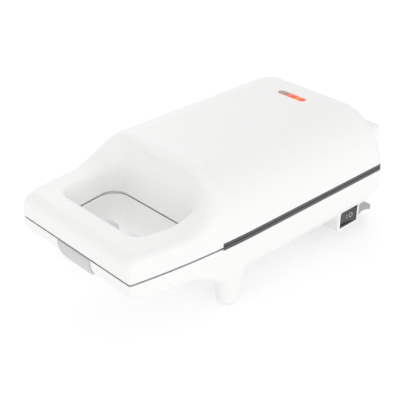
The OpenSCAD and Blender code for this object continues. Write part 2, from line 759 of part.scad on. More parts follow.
module base_casing() color(WHITE) from_front() difference() {
    union() {
        difference() {
            base_block(0);
            difference() {
                base_block(wall);
                prism(hole(wall, wall), -tub_depth - over, 2 * over);
                at_plate_corners() translate([0, 0, -tub_depth]) cylinder(r = post_r, h = tub_depth);
                at_cover_screws() translate([0, 0, -tub_depth]) cylinder(r = post_r, h = tub_depth);
                for (x = [-stand_screws_x, stand_screws_x])
                    translate([x, stand_screws_y, -tub_depth]) cylinder(r = post_r, h = 10);
                cheeks();
            }
            latch_window();
        }
        switch_housing();
        both_sides() front_leg();
        both_sides() hinge_ear();
    }
    prism(hole(0, 0), -tub_depth - over, 2 * over);
    switch_opening();
    box([-body_w, -over, -half_gap], [body_w, body_len, over * 2]);
    difference() {
        box([-body_w, rim_front - side_fit, -lower_rim_t], [body_w, body_len, over * 2]);
        prism(hole(wall, wall), -tub_depth, 3 * over);
    }
    prism(plan(wall, wall, front_corner_r), -half_gap - cover_t, over);
    at_plate_corners() translate([0, 0, -screw_len - run_fit])
        cylinder(r = screw_r + run_fit, h = screw_len + over);
    at_cover_screws() translate([0, 0, -half_gap - screw_len - run_fit])
        cylinder(r = screw_r + run_fit, h = screw_len + over);
    for (x = [-stand_screws_x, stand_screws_x])
        translate([x, stand_screws_y, -tub_depth - over]) cylinder(r = screw_r + run_fit, h = over + 7);
    both_sides() {
        rod_x(axis_y, hinge_up, pin_d / 2 + run_fit, ear_x - over, ear_x + ear_w + over);
        rod_x(latch_y, -latch_z, latch_pin_d / 2 + run_fit, cheek_x - over, latch_pin_l / 2 + insert_fit);
        translate([leg_x, leg_y, -seam_h]) cylinder(r = front_pad_r + insert_fit, h = pad_h);
    }
    gland_square(gland_neck + 2 * insert_fit, body_len - wall - over, body_len + over);
}

// Cover of the casing's handle loop, with the slot for the latch's hook
module lower_handle_cover() color(WHITE) from_front() difference() {
    intersection() {
        prism(plan(wall + cover_fit, wall + cover_fit, front_corner_r), -half_gap - cover_t, -half_gap);
        box([-body_w, 0, -handle_depth], [body_w, rim_front - 2 * side_fit, over]);
    }
    prism(hole(wall + cover_fit, wall + cover_fit), -handle_depth, over);
    box([-slot_w / 2, 0, -handle_depth], [slot_w / 2, hook_y + hook_t + 3.5, over]);
    box([-cheek_x, 0, -handle_depth], [cheek_x, latch_t + 2, over]);
    mirror([0, 0, 1]) at_cover_screws() translate([0, 0, half_gap]) screw(fit = run_fit);
}

module lower_cover_screws() color(STEEL) from_front() {
    mirror([0, 0, 1]) at_cover_screws() translate([0, 0, half_gap]) screw();
}

module gland_square(side, y0, y1) {
    box([gland_x - side / 2, y0, gland_z - side / 2], [gland_x + side / 2, y1, gland_z + side / 2]);
}

// Gland for the cord, kept from turning by its square neck
module cord_gland() color(GREY) from_front() difference() {
    inner = body_len - wall - insert_fit;
    outer = body_len + insert_fit;
    union() {
        rod_y(gland_x, gland_z, gland_r, body_len - wall - 4, inner);
        rod_y(gland_x, gland_z, gland_r + 1.5, body_len - wall - gland_collar, inner);
        gland_square(gland_neck, inner - over, outer + over);
        rod_y(gland_x, gland_z, gland_r + 2, outer, body_len + gland_collar);
        rod_y(gland_x, gland_z, gland_r, outer, body_len + 6);
    }
    rod_y(gland_x, gland_z, cord_r, body_len - wall - 5, body_len + 7);
}

module terminal_block() color("beige") from_front() difference() {
    box([-block_w / 2, block_y, -tub_depth + wall],
        [block_w / 2, block_y + block_l, -tub_depth + wall + block_l]);
    for (x = [-1, 0, 1])
        translate([x * block_w / 3, block_y + block_l / 2, -tub_depth + wall + block_l / 2])
            cylinder(r = head_r / 2, h = block_l);
}

// Insulated wires in the casing: from the terminals to the switch and to both ends of the element
module base_wiring() color([0.3, 0.3, 0.32]) from_front() {
    start_x = block_w / 3;
    side_x = block_w / 2 + wire_fit;
    end_y = heater_rear + heater_pin + wire_fit;
    tube([[start_x, block_y - wire_fit, wire_z], [start_x, block_y - 3 * wire_r, wire_z],
          [housing_x - 10 * wire_r, switch_y + 5 * wire_r, wire_z], [housing_x - 3 * wire_r, switch_y, wire_z],
          [switch_x - switch_depth - wire_fit, switch_y, wire_z]], wire_r);
    both_sides() tube([[heater_span / 2, end_y, -heater_z],
                       [heater_span / 2, end_y + 2 * wire_r, -heater_z - wire_r],
                       [(heater_span / 2 + side_x) / 2, block_y + block_l / 2, wire_z + 2 * wire_r],
                       [side_x, block_y + block_l / 2, wire_z]], wire_r);
}

// Insulated wires in the lid: from the lamps and from both ends of the element to the hump
module lid_wiring() color([0.3, 0.3, 0.32]) from_front() both_sides() {
    lamp_wire_z = tray_top + 3 * wire_r;
    bend_y = body_len - wall - 3 * wire_r;
    end_y = heater_rear + heater_pin + wire_fit;
    end_x = lid_wire_step / 2;
    lamp_z = holder_top - holder_h - wire_fit;
    tube([[lamp_x, lens_y, lamp_z], [lamp_x, lens_y, lamp_z - wire_r],
          [lamp_x, lens_y + 2 * wire_r, lamp_wire_z], [lamp_x / 2, bend_y - 4 * wire_r, lamp_wire_z],
          [end_x, bend_y, lid_wire_z],
          [end_x, body_len + wire_r, lid_wire_z]], wire_r);
    tube([[heater_span / 2, end_y, heater_z], [heater_span / 2 - wire_r, end_y + 2 * wire_r, heater_z],
          [3 * end_x + 3 * wire_r, bend_y, lid_wire_z], [3 * end_x, bend_y + wire_r, lid_wire_z],
          [3 * end_x, body_len + wire_r, lid_wire_z]], wire_r);
}

// ---------------------------------------------------------------- latch

// Outline of the tongue from the front: straight sides and a lower edge that bows downwards
latch_outline = let (w = latch_w / 2, low = -latch_drop + latch_bow, n = 8)
    rounded(concat([[-w, over], [-w, low]],
                   [for (i = [1:n - 1]) let (t = 2 * i / n - 1) [w * t, low - latch_bow * (1 - t * t)]],
                   [[w, low], [w, over]]),
            concat([0, latch_corner_r], [for (i = [1:n - 1]) 0], [latch_corner_r, 0]));

// Side view of the tongue's outer or inner face, in steps from its upper end to its lower one
function latch_face(r, steps) =
    let (centre_z = -handle_depth + handle_front_r, wrap = asin((latch_drop + centre_z) / latch_r) + 3)
    [for (i = steps) let (a = wrap * i / 10) [latch_r - r * cos(a), centre_z - r * sin(a)]];

// Tongue that wraps under the front of the handle, with a hook that passes into the lid
module latch() color(GREY) from_front() {
    skin = concat([[0, latch_top]], latch_face(latch_r, [0:10]), latch_face(latch_r - latch_t, [10:-1:0]),
                  [[latch_t, latch_top]]);
    rib_low = latch_face(latch_r - latch_t / 2, [5:5])[0];
    rib_z = latch_top - 0.5;
    difference() {
        union() {
            intersection() {
                side_prism(skin, -latch_w / 2, latch_w / 2);
                front_prism(latch_outline, -over, latch_r);
            }
            rod_x(latch_y, -latch_z, latch_pin_d / 2 + latch_hub, -latch_w / 2 + 1, latch_w / 2 - 1);
            for (x = [-hook_w / 2, -hook_rib / 2, hook_w / 2 - hook_rib])
                side_prism([[latch_t - 0.4, rib_z], [hook_y + hook_t, rib_z], [latch_y + 2, -latch_z + 1],
                            [latch_y, -latch_z - 3], rib_low], x, x + hook_rib);
            side_prism([[hook_y, -latch_z], [hook_y + hook_t, -latch_z], [hook_y + hook_t, hook_h - nose_h],
                        [hook_y + hook_t + nose_reach, hook_h - nose_h], [hook_y + hook_t, hook_h],
                        [hook_y, hook_h]], -hook_w / 2, hook_w / 2);
        }
        rod_x(latch_y, -latch_z, latch_pin_d / 2 + run_fit, -latch_w, latch_w);
    }
}

module latch_pin() color(STEEL) from_front() {
    rod_x(latch_y, -latch_z, latch_pin_d / 2, -latch_pin_l / 2, latch_pin_l / 2);
}

module hinge_pins() color(STEEL) from_front() both_sides() {
    rod_x(axis_y, hinge_up, pin_d / 2, ear_x + 0.3, ear_x + ear_w + 0.5 + knuckle_w - 1.5);
}

// ---------------------------------------------------------------- switch

module switch_body() color(DARK) from_front() difference() {
    half_w = switch_w / 2;
    half_h = switch_h / 2;
    box([switch_x - switch_depth, switch_y - half_w + insert_fit, -switch_z - half_h + insert_fit],
        [switch_x, switch_y + half_w - insert_fit, -switch_z + half_h - insert_fit]);
    box([switch_x - switch_depth + 3, switch_y - half_w + switch_wall, -switch_z - half_h + switch_wall],
        [switch_x + over, switch_y + half_w - switch_wall, -switch_z + half_h - switch_wall]);
    translate([pivot_x, switch_y, -switch_z - switch_h / 2 + 0.5]) cylinder(r = 1.2 + run_fit, h = switch_h - 1);
}

module switch_rocker() color(DARK) from_front() {
    half_l = switch_w / 2 - switch_wall - 0.7;
    half_h = switch_h / 2 - switch_wall - side_fit;
    translate([pivot_x, switch_y, -switch_z]) rotate([0, 0, -rocker_tilt]) {
        translate([0, 0, -half_h]) linear_extrude(2 * half_h)
            polygon([[3.4, -half_l], [2.4, 0], [3.4, half_l], [1.2, half_l], [-4.5, 3], [-4.5, -3], [1.2, -half_l]]);
        translate([0, 0, -switch_h / 2 + 0.7]) cylinder(r = 1.2, h = switch_h - 1.4);
    }
}

// ---------------------------------------------------------------- feet and rear stand

module rear_stand() color(GREY) from_front() difference() {
    union() {
        side_prism([[stand_front, -tub_depth], [body_len - tub_rear_r, -tub_depth],
                    [overall_len, -stand_tip + stand_t], [overall_len, -stand_tip],
                    [overall_len - 6, -stand_tip + 2], [lip_y + 3, -stand_tip + 2.6],
                    [lip_y, -stand_tip + 0.7], [lip_y - 2.4, -stand_tip + 0.7],
                    [lip_y - 4, -tub_depth - stand_t], [stand_front, -tub_depth - stand_t]],
                   -stand_w / 2, stand_w / 2);
        box([-stand_tongue_w / 2, foot_y - foot_r - 3, -tub_depth - stand_t],
            [stand_tongue_w / 2, foot_y + foot_r + 3, -tub_depth]);
        both_sides() translate([foot_x, foot_y, -seam_h + pad_out])
            cylinder(r1 = foot_r - 0.6, r2 = foot_r + 0.6, h = leg_h - pad_out - 1);
    }
    both_sides() translate([foot_x, foot_y, -seam_h]) cylinder(r = front_pad_r + insert_fit, h = pad_h);
    both_sides() translate([stand_screws_x, stand_screws_y, -tub_depth - stand_t]) screw(12, run_fit);
}

module stand_screws() color(STEEL) from_front() both_sides() {
    translate([stand_screws_x, stand_screws_y, -tub_depth - stand_t]) screw(stand_t + 6);
}

module rubber_pads() color([0.25, 0.25, 0.25]) from_front() both_sides() {
    translate([leg_x, leg_y, -seam_h]) cylinder(r = front_pad_r, h = pad_h);
    translate([foot_x, foot_y, -seam_h]) cylinder(r = front_pad_r, h = pad_h);
}

base_casing();
lower_handle_cover();
lower_cover_screws();
lower_plate();
lower_plate_screws();
lower_heater();
lower_reflector();
thermostat();
terminal_block();
base_wiring();
cord_gland();
switch_body();
switch_rocker();
rear_stand();
stand_screws();
rubber_pads();
latch();
latch_pin();
lid_cover();
upper_handle_cover();
upper_cover_screws();
upper_plate();
upper_plate_screws();
upper_heater();
upper_reflector();
thermal_fuse();
lid_wiring();
hinge_pins();
lamp_lens();
lamp_holder();
power_lamp();
ready_lamp();
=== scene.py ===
"""Dresses the packed sandwich toaster: mouldings, plates, latch, switch, lamps, feet, light and camera.

Sizes are in millimetres in the maker's own axes: X to the right, Y back from the front of the handle and
Z up from the parting plane between lid and casing. place() takes them to the frame, in metres.
"""
from __future__ import annotations

import logging
import math
from dataclasses import dataclass
from enum import Enum
from typing import Callable, Sequence

import bmesh
import bpy
import numpy as np
from mathutils import Matrix, Vector


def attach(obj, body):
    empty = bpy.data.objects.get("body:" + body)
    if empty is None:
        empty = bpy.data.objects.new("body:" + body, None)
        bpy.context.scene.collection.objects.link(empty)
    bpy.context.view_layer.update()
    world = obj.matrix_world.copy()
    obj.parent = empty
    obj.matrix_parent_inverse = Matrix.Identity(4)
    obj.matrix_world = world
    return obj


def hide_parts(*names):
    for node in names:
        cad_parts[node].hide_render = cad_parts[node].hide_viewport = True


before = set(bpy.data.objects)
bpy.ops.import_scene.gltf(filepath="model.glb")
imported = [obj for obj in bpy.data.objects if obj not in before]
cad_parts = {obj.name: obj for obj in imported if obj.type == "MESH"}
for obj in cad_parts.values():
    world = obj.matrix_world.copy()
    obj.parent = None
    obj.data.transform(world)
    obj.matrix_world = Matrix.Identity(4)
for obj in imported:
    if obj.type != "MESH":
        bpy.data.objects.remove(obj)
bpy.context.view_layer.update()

log = logging.getLogger("toaster")

Array = np.ndarray
Thing = bpy.types.Object
Socket = bpy.types.NodeSocket
Material = bpy.types.Material
Field = Callable[[Array, Array, Array], Array]
Point = tuple[float, float]
Triple = tuple[float, float, float]

MM = 0.001
WHOLE_LENGTH = 243.0
SEAM_HEIGHT = 56.0
HALF_GAP = 0.5
WALL = 2.5
FOOT_GAP = 0.5  # height of the feet's plastic over the ground, which the pads stand on
BEHIND = 250.0  # a plane behind everything
LEAST_R = 0.05  # radius of an edge that is all but sharp
SKIN_STEP = 1.3  # cell in which an outer form is netted
HOLLOW_STEP = 2.2  # cell in which a hollow is netted
POLISH = 4  # times that netted points are drawn onto the surface
NUDGE = 0.02  # distance over which a field's slope is taken
LEAST_SLOPE = 0.05  # least square of a slope
SIDES = 40  # faces round a rod


class Body(Enum):
    """Bodies of the frame that pieces ride on."""

    BASE = "base"
    LID = "lid"
    LATCH = "latch"
    ROCKER = "rocker"


class Cut(Enum):
    """Ways in which one solid works on another."""

    TAKE = "DIFFERENCE"
    JOIN = "UNION"
    KEEP = "INTERSECT"


# ---------------------------------------------------------------- outlines and fields


def unit(vector: Array) -> Array:
    """Returns a vector at length one."""
    return vector / np.linalg.norm(vector)


def rounded(points: Sequence[Point], radii: Sequence[float], degrees: float = 6.0) -> list[Point]:
    """Rounds each corner of an outline with its own radius.

    Args:
        points: Corners of the outline.
        radii: Radius at each corner, 0 for a sharp one.
        degrees: Angle between the points of an arc.

    Returns:
        The points of the rounded outline.
    """
    corners = [np.array(p, float) for p in points]
    outline: list[Point] = []
    for i, radius in enumerate(radii):
        before, here, after = corners[i - 1], corners[i], corners[(i + 1) % len(corners)]
        if radius <= 0:
            outline.append((here[0], here[1]))
            continue
        u, v = unit(before - here), unit(after - here)
        half = math.acos(max(-1.0, min(1.0, float(u @ v)))) / 2
        middle = here + unit(u + v) * (radius / math.sin(half))
        start = here + u * (radius / math.tan(half)) - middle
        sweep = math.pi - 2 * half
        way = -math.copysign(1, u[0] * v[1] - u[1] * v[0])
        steps = max(2, math.ceil(math.degrees(sweep) / degrees))
        for k in range(steps + 1):
            a = way * sweep * k / steps
            outline.append((middle[0] + start[0] * math.cos(a) - start[1] * math.sin(a),
                            middle[1] + start[0] * math.sin(a) + start[1] * math.cos(a)))
    return outline


def round_max(a: Array, b: Array, r: Array | float) -> Array:
    """Returns the field of what lies in both a and b, with their edge rounded to radius r."""
    return np.minimum(np.maximum(a, b), -r) + np.hypot(np.maximum(a + r, 0), np.maximum(b + r, 0))


def round_min(a: Array, b: Array, r: Array | float) -> Array:
    """Returns the field of what lies in a or b, with their inner corner filled to radius r."""
    return -round_max(-a, -b, r)


def ease(t: Array, low: float, high: float) -> Array:
    """Returns 0 below low and 1 above high, with a smooth step between."""
    s = np.clip((t - low) / (high - low), 0, 1)
    return s * s * (3 - 2 * s)


def shift(t: Array, span: Point, low: Array | float, high: float) -> Array:
    """Returns low before a span of t and high behind it, with a smooth change between."""
    return low + (high - low) * ease(t, *span)


def skin(field: Field, low: Sequence[float], high: Sequence[float], step: float) -> tuple[Array, Array]:
    """Nets the surface on which a field is zero, and draws its points onto it.

    Args:
        field: Distance field, negative inside the solid.
        low: Lowest corner of the space that holds the surface.
        high: Highest corner of it.
        step: Size of a cell.

    Returns:
        The points and the four-sided faces, which point outwards.
    """
    axes = [np.arange(low[i], high[i] + step, step) for i in range(3)]
    shape = tuple(len(a) for a in axes)
    values = np.broadcast_to(field(*np.meshgrid(*axes, indexing="ij", sparse=True)), shape)
    cells = tuple(n - 1 for n in shape)
    total = np.zeros(cells + (3,))
    count = np.zeros(cells)
    crossings = []
    for axis in range(3):
        others = [d for d in range(3) if d != axis]
        first = np.take(values, range(cells[axis]), axis)
        last = np.take(values, range(1, shape[axis]), axis)
        crossing = (first < 0) != (last < 0)
        share = np.where(crossing, first / np.where(crossing, first - last, 1), 0)
        crossings.append((crossing, first < 0))
        for u in (0, 1):
            for v in (0, 1):
                part: list[slice] = [slice(0, cells[axis])] * 3
                part[others[0]] = slice(u, u + cells[others[0]])
                part[others[1]] = slice(v, v + cells[others[1]])
                here = crossing[tuple(part)]
                total[..., axis] += share[tuple(part)]
                total[..., others[0]] += here * u
                total[..., others[1]] += here * v
                count += here
    index = np.full(cells, -1)
    used = count > 0
    index[used] = np.arange(used.sum())
    points = np.argwhere(used) + total[used] / count[used][:, None]
    points = np.array([a[0] for a in axes]) + points * step
    faces = []
    for axis, (crossing, inside) in enumerate(crossings):
        u, v = [d for d in range(3) if d != axis]
        where = np.argwhere(crossing)
        across, up = where[:, u], where[:, v]
        where = where[(across > 0) & (up > 0) & (across < cells[u]) & (up < cells[v])]
        around = []
        for du, dv in ((1, 1), (0, 1), (0, 0), (1, 0)):
            cell = where.copy()
            cell[:, u] -= du
            cell[:, v] -= dv
            around.append(index[tuple(cell.T)])
        quads = np.stack(around, 1)
        turned = inside[tuple(where.T)] != (axis == 1)
        faces.append(np.where(turned[:, None], quads, quads[:, ::-1]))
    for _ in range(POLISH):
        x, y, z = points.T
        value = field(x, y, z)
        slope = np.stack([field(x + NUDGE, y, z) - field(x - NUDGE, y, z),
                          field(x, y + NUDGE, z) - field(x, y - NUDGE, z),
                          field(x, y, z + NUDGE) - field(x, y, z - NUDGE)], 1) / (2 * NUDGE)
        square = np.maximum((slope ** 2).sum(1), LEAST_SLOPE)
        move = -slope * (value / square)[:, None]
        length = np.linalg.norm(move, axis=1)
        move *= np.minimum(1, 0.5 * step / np.maximum(length, 1e-9))[:, None]
        points = points + move
    return points, np.concatenate(faces)


# ---------------------------------------------------------------- meshes


def place(points: Array) -> Array:
    """Takes points from the maker's axes in millimetres to the frame in metres."""
    return (np.asarray(points, float) + (0, -WHOLE_LENGTH / 2, SEAM_HEIGHT)) * MM


def piece_from(name: str, points: Array, faces: Sequence) -> Thing:
    """Makes an object from points in the maker's axes.

    Args:
        name: Name of the piece.
        points: Points in millimetres.
        faces: Corners of each face.

    Returns:
        The new object, at the origin.
    """
    mesh = bpy.data.meshes.new(name)
    mesh.from_pydata(place(points).tolist(), [], faces.tolist() if isinstance(faces, Array) else faces)
    mesh.update()
    thing = bpy.data.objects.new(name, mesh)
    bpy.context.scene.collection.objects.link(thing)
    return thing


def prism(name: str, outline: Sequence[Point], start: float, end: float, along: int = 2) -> Thing:
    """Extrudes an outline along an axis.

    Args:
        name: Name of the piece.
        outline: Outline in the other two axes, in their order.
        start: Lower end along the axis.
        end: Upper end along the axis.
        along: 0, 1 or 2 for X, Y or Z.

    Returns:
        The new object, with its faces outwards.
    """
    others = [d for d in range(3) if d != along]
    flat = np.array(outline, float)
    n = len(flat)
    points = np.zeros((2 * n, 3))
    for k, height in enumerate((start, end)):
        points[k * n:(k + 1) * n, others] = flat
        points[k * n:(k + 1) * n, along] = height
    faces: list[list[int]] = [list(range(n)), list(range(n, 2 * n))]
    faces += [[i, (i + 1) % n, n + (i + 1) % n, n + i] for i in range(n)]
    thing = piece_from(name, points, faces)
    face_out(thing)
    return thing


def block(name: str, low: Sequence[float], high: Sequence[float]) -> Thing:
    """Makes a box between two corners."""
    (a, b, bottom), (c, d, top) = low, high
    return prism(name, [(a, b), (c, b), (c, d), (a, d)], bottom, top)


def ring(centre: Point, radii: Point, sides: int = SIDES) -> list[Point]:
    """Returns points round an ellipse."""
    turns = [2 * math.pi * k / sides for k in range(sides)]
    return [(centre[0] + radii[0] * math.cos(a), centre[1] + radii[1] * math.sin(a)) for a in turns]


def rod(name: str, centre: Point, radius: float, start: float, end: float, along: int = 0) -> Thing:
    """Makes a round rod along an axis, its centre given in the other two axes."""
    return prism(name, ring(centre, (radius, radius)), start, end, along)


def loft(name: str, rings: Sequence[tuple[Sequence[Point], float]]) -> Thing:
    """Joins outlines that have the same number of points.

    Args:
        name: Name of the piece.
        rings: Each outline in X and Y, with its height.

    Returns:
        The new object, closed at both ends.
    """
    n = len(rings[0][0])
    points = [(x, y, z) for outline, z in rings for x, y in outline]
    faces: list[list[int]] = [list(range(n)), list(range((len(rings) - 1) * n, len(rings) * n))]
    for low in range(0, (len(rings) - 1) * n, n):
        faces += [[low + i, low + (i + 1) % n, low + n + (i + 1) % n, low + n + i] for i in range(n)]
    thing = piece_from(name, np.array(points), faces)
    face_out(thing)
    return thing


def lathe(name: str, profile: Sequence[Point], at: Sequence[float], sides: int = SIDES) -> Thing:
    """Turns a profile of radii and heights round an upright axis through a point."""
    return loft(name, [(ring((at[0], at[1]), (r, r), sides), at[2] + h) for r, h in profile])


def face_out(thing: Thing) -> None:
    """Turns the faces of a closed mesh outwards."""
    work = bmesh.new()
    work.from_mesh(thing.data)
    bmesh.ops.recalc_face_normals(work, faces=work.faces)
    work.to_mesh(thing.data)
    work.free()


def settle(thing: Thing) -> None:
    """Turns a piece's modifiers into plain mesh."""
    graph = bpy.context.evaluated_depsgraph_get()
    made = bpy.data.meshes.new_from_object(thing.evaluated_get(graph))
    old = thing.data
    thing.modifiers.clear()
    thing.data = made
    made.name = thing.name
    bpy.data.meshes.remove(old)


def discard(thing: Thing) -> None:
    """Removes an object and its mesh."""
    mesh = thing.data
    bpy.data.objects.remove(thing)
    bpy.data.meshes.remove(mesh)


def work_on(thing: Thing, tool: Thing, cut: Cut) -> None:
    """Cuts, joins or keeps a piece with a tool, which is used up."""
    before = len(thing.data.vertices)
    modifier = thing.modifiers.new("cut", "BOOLEAN")
    modifier.operation = cut.value
    modifier.solver = "MANIFOLD"
    modifier.object = tool
    settle(thing)
    if len(thing.data.vertices) == before:
        log.warning("%s: %s with %s changed nothing", thing.name, cut.value, tool.name)
    discard(tool)


def bevel(thing: Thing, width: float, segments: int = 3, limit: float = 35.0) -> None:
    """Rounds the sharp edges of a piece.

    Args:
        thing: The piece.
        width: Width of the rounding in millimetres.
        segments: Faces across it.
        limit: Least angle of an edge that is rounded, in degrees.
    """
    modifier = thing.modifiers.new("edges", "BEVEL")
    modifier.width = width * MM
    modifier.segments = segments
    modifier.limit_method = "ANGLE"
    modifier.angle_limit = math.radians(limit)
    modifier.use_clamp_overlap = True
    settle(thing)


def smooth(thing: Thing, degrees: float = 32.0) -> None:
    """Shades a piece smooth, with edges sharper than an angle kept."""
    work = bmesh.new()
    work.from_mesh(thing.data)
    limit = math.radians(degrees)
    for face in work.faces:
        face.smooth = True
    for edge in work.edges:
        edge.smooth = len(edge.link_faces) == 2 and edge.calc_face_angle(0) < limit
    work.to_mesh(thing.data)
    work.free()


def net(name: str, field: Field, low: Sequence[float], high: Sequence[float], step: float) -> Thing:
    """Makes an object from a field, as skin() nets it."""
    return piece_from(name, *skin(field, low, high, step))


def mount(thing: Thing, body: Body, slot: str, *nodes: str) -> None:
    """Seats a finished piece on its body and hides the CAD nodes that it stands for.

    Args:
        thing: The piece.
        body: Body that it rides on.
        slot: Name of its finish slot; not used.
        nodes: CAD nodes that it replaces.
    """
    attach(thing, body.value)
    if nodes:
        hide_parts(*nodes)
    log.info("%s rides on %s with %d faces", thing.name, body.value, len(thing.data.polygons))


def seat(thing: Thing, material: Material, body: Body, slot: str, *nodes: str, degrees: float = 32.0) -> None:
    """Shades a piece, gives it its one finish and mounts it.

    Args:
        thing: The piece.
        material: Its finish.
        body: Body that it rides on.
        slot: Name of its finish slot; passed to mount() and not used.
        nodes: CAD nodes that it replaces.
        degrees: Angle from which its edges stay sharp.
    """
    smooth(thing, degrees)
    thing.data.materials.clear()
    thing.data.materials.append(material)
    mount(thing, body, slot, *nodes)


class Repeater:
    """Geometry Nodes group that sets copies of a part on places, each with its own turn."""

    INPUTS = {"Places": "NodeSocketGeometry", "Part": "NodeSocketObject", "Facing": "NodeSocketVector",
              "Turn": "NodeSocketFloat", "Seed": "NodeSocketInt", "Finish": "NodeSocketMaterial"}

    def __init__(self) -> None:
        """Builds the group."""
        self.group = bpy.data.node_groups.new("set_on_places", "GeometryNodeTree")
        face = self.group.interface
        self.keys = {name: face.new_socket(name, in_out="INPUT", socket_type=kind).identifier
                     for name, kind in self.INPUTS.items()}
        face.new_socket("Result", in_out="OUTPUT", socket_type="NodeSocketGeometry")
        given = self.group.nodes.new("NodeGroupInput").outputs
        points = self.add("GeometryNodeMeshToPoints", Mesh=given["Places"])
        part = self.add("GeometryNodeObjectInfo", Object=given["Part"])
        copies = self.add("GeometryNodeInstanceOnPoints", Points=points.outputs["Points"],
                          Instance=part.outputs["Geometry"], Rotation=given["Facing"])
        chance = self.add("FunctionNodeRandomValue", Seed=given["Seed"])
        chance.data_type = "FLOAT"
        most = next(s for s in chance.inputs if s.name == "Max" and s.type == "VALUE")
        self.group.links.new(given["Turn"], most)
        angle = next(s for s in chance.outputs if s.type == "VALUE")
        turn = self.add("ShaderNodeCombineXYZ", Z=angle)
        turned = self.add("GeometryNodeRotateInstances", Instances=copies.outputs["Instances"],
                          Rotation=turn.outputs["Vector"])
        real = self.add("GeometryNodeRealizeInstances", Geometry=turned.outputs["Instances"])
        done = self.add("GeometryNodeSetMaterial", Geometry=real.outputs["Geometry"], Material=given["Finish"])
        result = self.group.nodes.new("NodeGroupOutput")
        self.group.links.new(done.outputs["Geometry"], result.inputs["Result"])

    def add(self, kind: str, **inputs: Socket) -> bpy.types.Node:
        """Adds a node and joins sockets to its inputs."""
        node = self.group.nodes.new(kind)
        for name, source in inputs.items():
            self.group.links.new(source, node.inputs[name])
        return node

    def make(self, name: str, places: Sequence[Sequence[float]], part: Thing, finish: Material, down: bool,
             seed: int) -> Thing:
        """Sets a part on places.

        Args:
            name: Name of the piece that holds the copies.
            places: Where the part's origin goes, in the maker's axes.
            part: Object that is repeated; it stays for the next use.
            finish: Its material.
            down: Whether the part faces down.
            seed: Seed of the turns.

        Returns:
            One plain mesh with every copy.
        """
        thing = piece_from(name, np.array(places, float), [])
        modifier = thing.modifiers.new("repeat", "NODES")
        modifier.node_group = self.group
        facing = (math.pi if down else 0.0, 0.0, 0.0)
        given = {"Part": part, "Facing": facing, "Turn": 2 * math.pi, "Seed": seed, "Finish": finish}
        for key, value in given.items():
            modifier[self.keys[key]] = value
        settle(thing)
        smooth(thing)
        return thing


# ---------------------------------------------------------------- finishes


class Nodes:
    """Short hand for building a material's nodes."""

    def __init__(self, name: str) -> None:
        """Starts a material with a shader and an output."""
        self.material = bpy.data.materials.new(name)
        self.material.use_nodes = True
        self.tree = self.material.node_tree
        self.shader = self.tree.nodes["Principled BSDF"]
        self.places = self.add("ShaderNodeTexCoord").outputs["Object"]

    def add(self, kind: str, **settings: object) -> bpy.types.Node:
        """Adds a node and sets its properties."""
        node = self.tree.nodes.new(kind)
        for key, value in settings.items():
            setattr(node, key, value)
        return node

    def link(self, source: Socket, target: Socket) -> None:
        """Joins an output to an input."""
        self.tree.links.new(source, target)

    def noise(self, scale: float, detail: float) -> Socket:
        """Adds noise on object coordinates and returns its value."""
        node = self.add("ShaderNodeTexNoise")
        self.link(self.places, node.inputs["Vector"])
        node.inputs["Scale"].default_value = scale
        node.inputs["Detail"].default_value = detail
        return node.outputs["Fac"]

    def spread(self, value: Socket, low: float, high: float, start: float = 0.3,
               end: float = 0.7) -> Socket:
        """Maps a value from start..end to low..high."""
        node = self.add("ShaderNodeMapRange")
        self.link(value, node.inputs["Value"])
        node.inputs["From Min"].default_value = start
        node.inputs["From Max"].default_value = end
        node.inputs["To Min"].default_value = low
        node.inputs["To Max"].default_value = high
        return node.outputs["Result"]

    def blend(self, share: Socket, low: Socket | Sequence[float], high: Sequence[float]) -> Socket:
        """Blends a colour, or what a socket gives, with a second colour by a share."""
        node = self.add("ShaderNodeMix", data_type="RGBA")
        self.link(share, node.inputs["Factor"])
        if isinstance(low, Socket):
            self.link(low, node.inputs["A"])
        else:
            node.inputs["A"].default_value = (*low, 1)
        node.inputs["B"].default_value = (*high, 1)
        return node.outputs["Result"]

    def give(self, inputs: dict[str, Socket | float]) -> None:
        """Sets inputs of the shader to sockets or numbers."""
        for name, value in inputs.items():
            if isinstance(value, Socket):
                self.link(value, self.shader.inputs[name])
            else:
                self.shader.inputs[name].default_value = value

    def bump(self, height: Socket, strength: float, distance: float) -> None:
        """Adds relief of a distance in millimetres to the shader."""
        node = self.add("ShaderNodeBump")
        node.inputs["Strength"].default_value = strength
        node.inputs["Distance"].default_value = distance * MM
        self.link(height, node.inputs["Height"])
        self.link(node.outputs["Normal"], self.shader.inputs["Normal"])

    def place_parts(self) -> bpy.types.NodeOutputs:
        """Splits the object coordinates into X, Y and Z."""
        node = self.add("ShaderNodeSeparateXYZ")
        self.link(self.places, node.inputs["Vector"])
        return node.outputs

    def calc(self, kind: str, *values: Socket | float) -> Socket:
        """Adds a maths node on sockets and numbers."""
        node = self.add("ShaderNodeMath", operation=kind)
        for slot, value in zip(node.inputs, values):
            if isinstance(value, (int, float)):
                slot.default_value = value
            else:
                self.link(value, slot)
        return node.outputs["Value"]


@dataclass(frozen=True)
class Plastic:
    """Moulded plastic with a faint spark-eroded grain and slight flow marks."""

    name: str
    colour: Triple
    variation: float = 0.012
    roughness: float = 0.42
    grain: float = 0.012
    grain_scale: float = 2600.0

    def make(self) -> Material:
        """Builds the material."""
        nodes = Nodes(self.name)
        darker = tuple(c * (1 - self.variation) for c in self.colour)
        rough = nodes.spread(nodes.noise(60.0, 5), self.roughness - 0.04, self.roughness + 0.05)
        nodes.give({"Base Color": nodes.blend(nodes.noise(26.0, 4), darker, self.colour),
                    "Roughness": rough, "IOR": 1.5})
        nodes.bump(nodes.noise(self.grain_scale, 2), 0.5, self.grain)
        return nodes.material


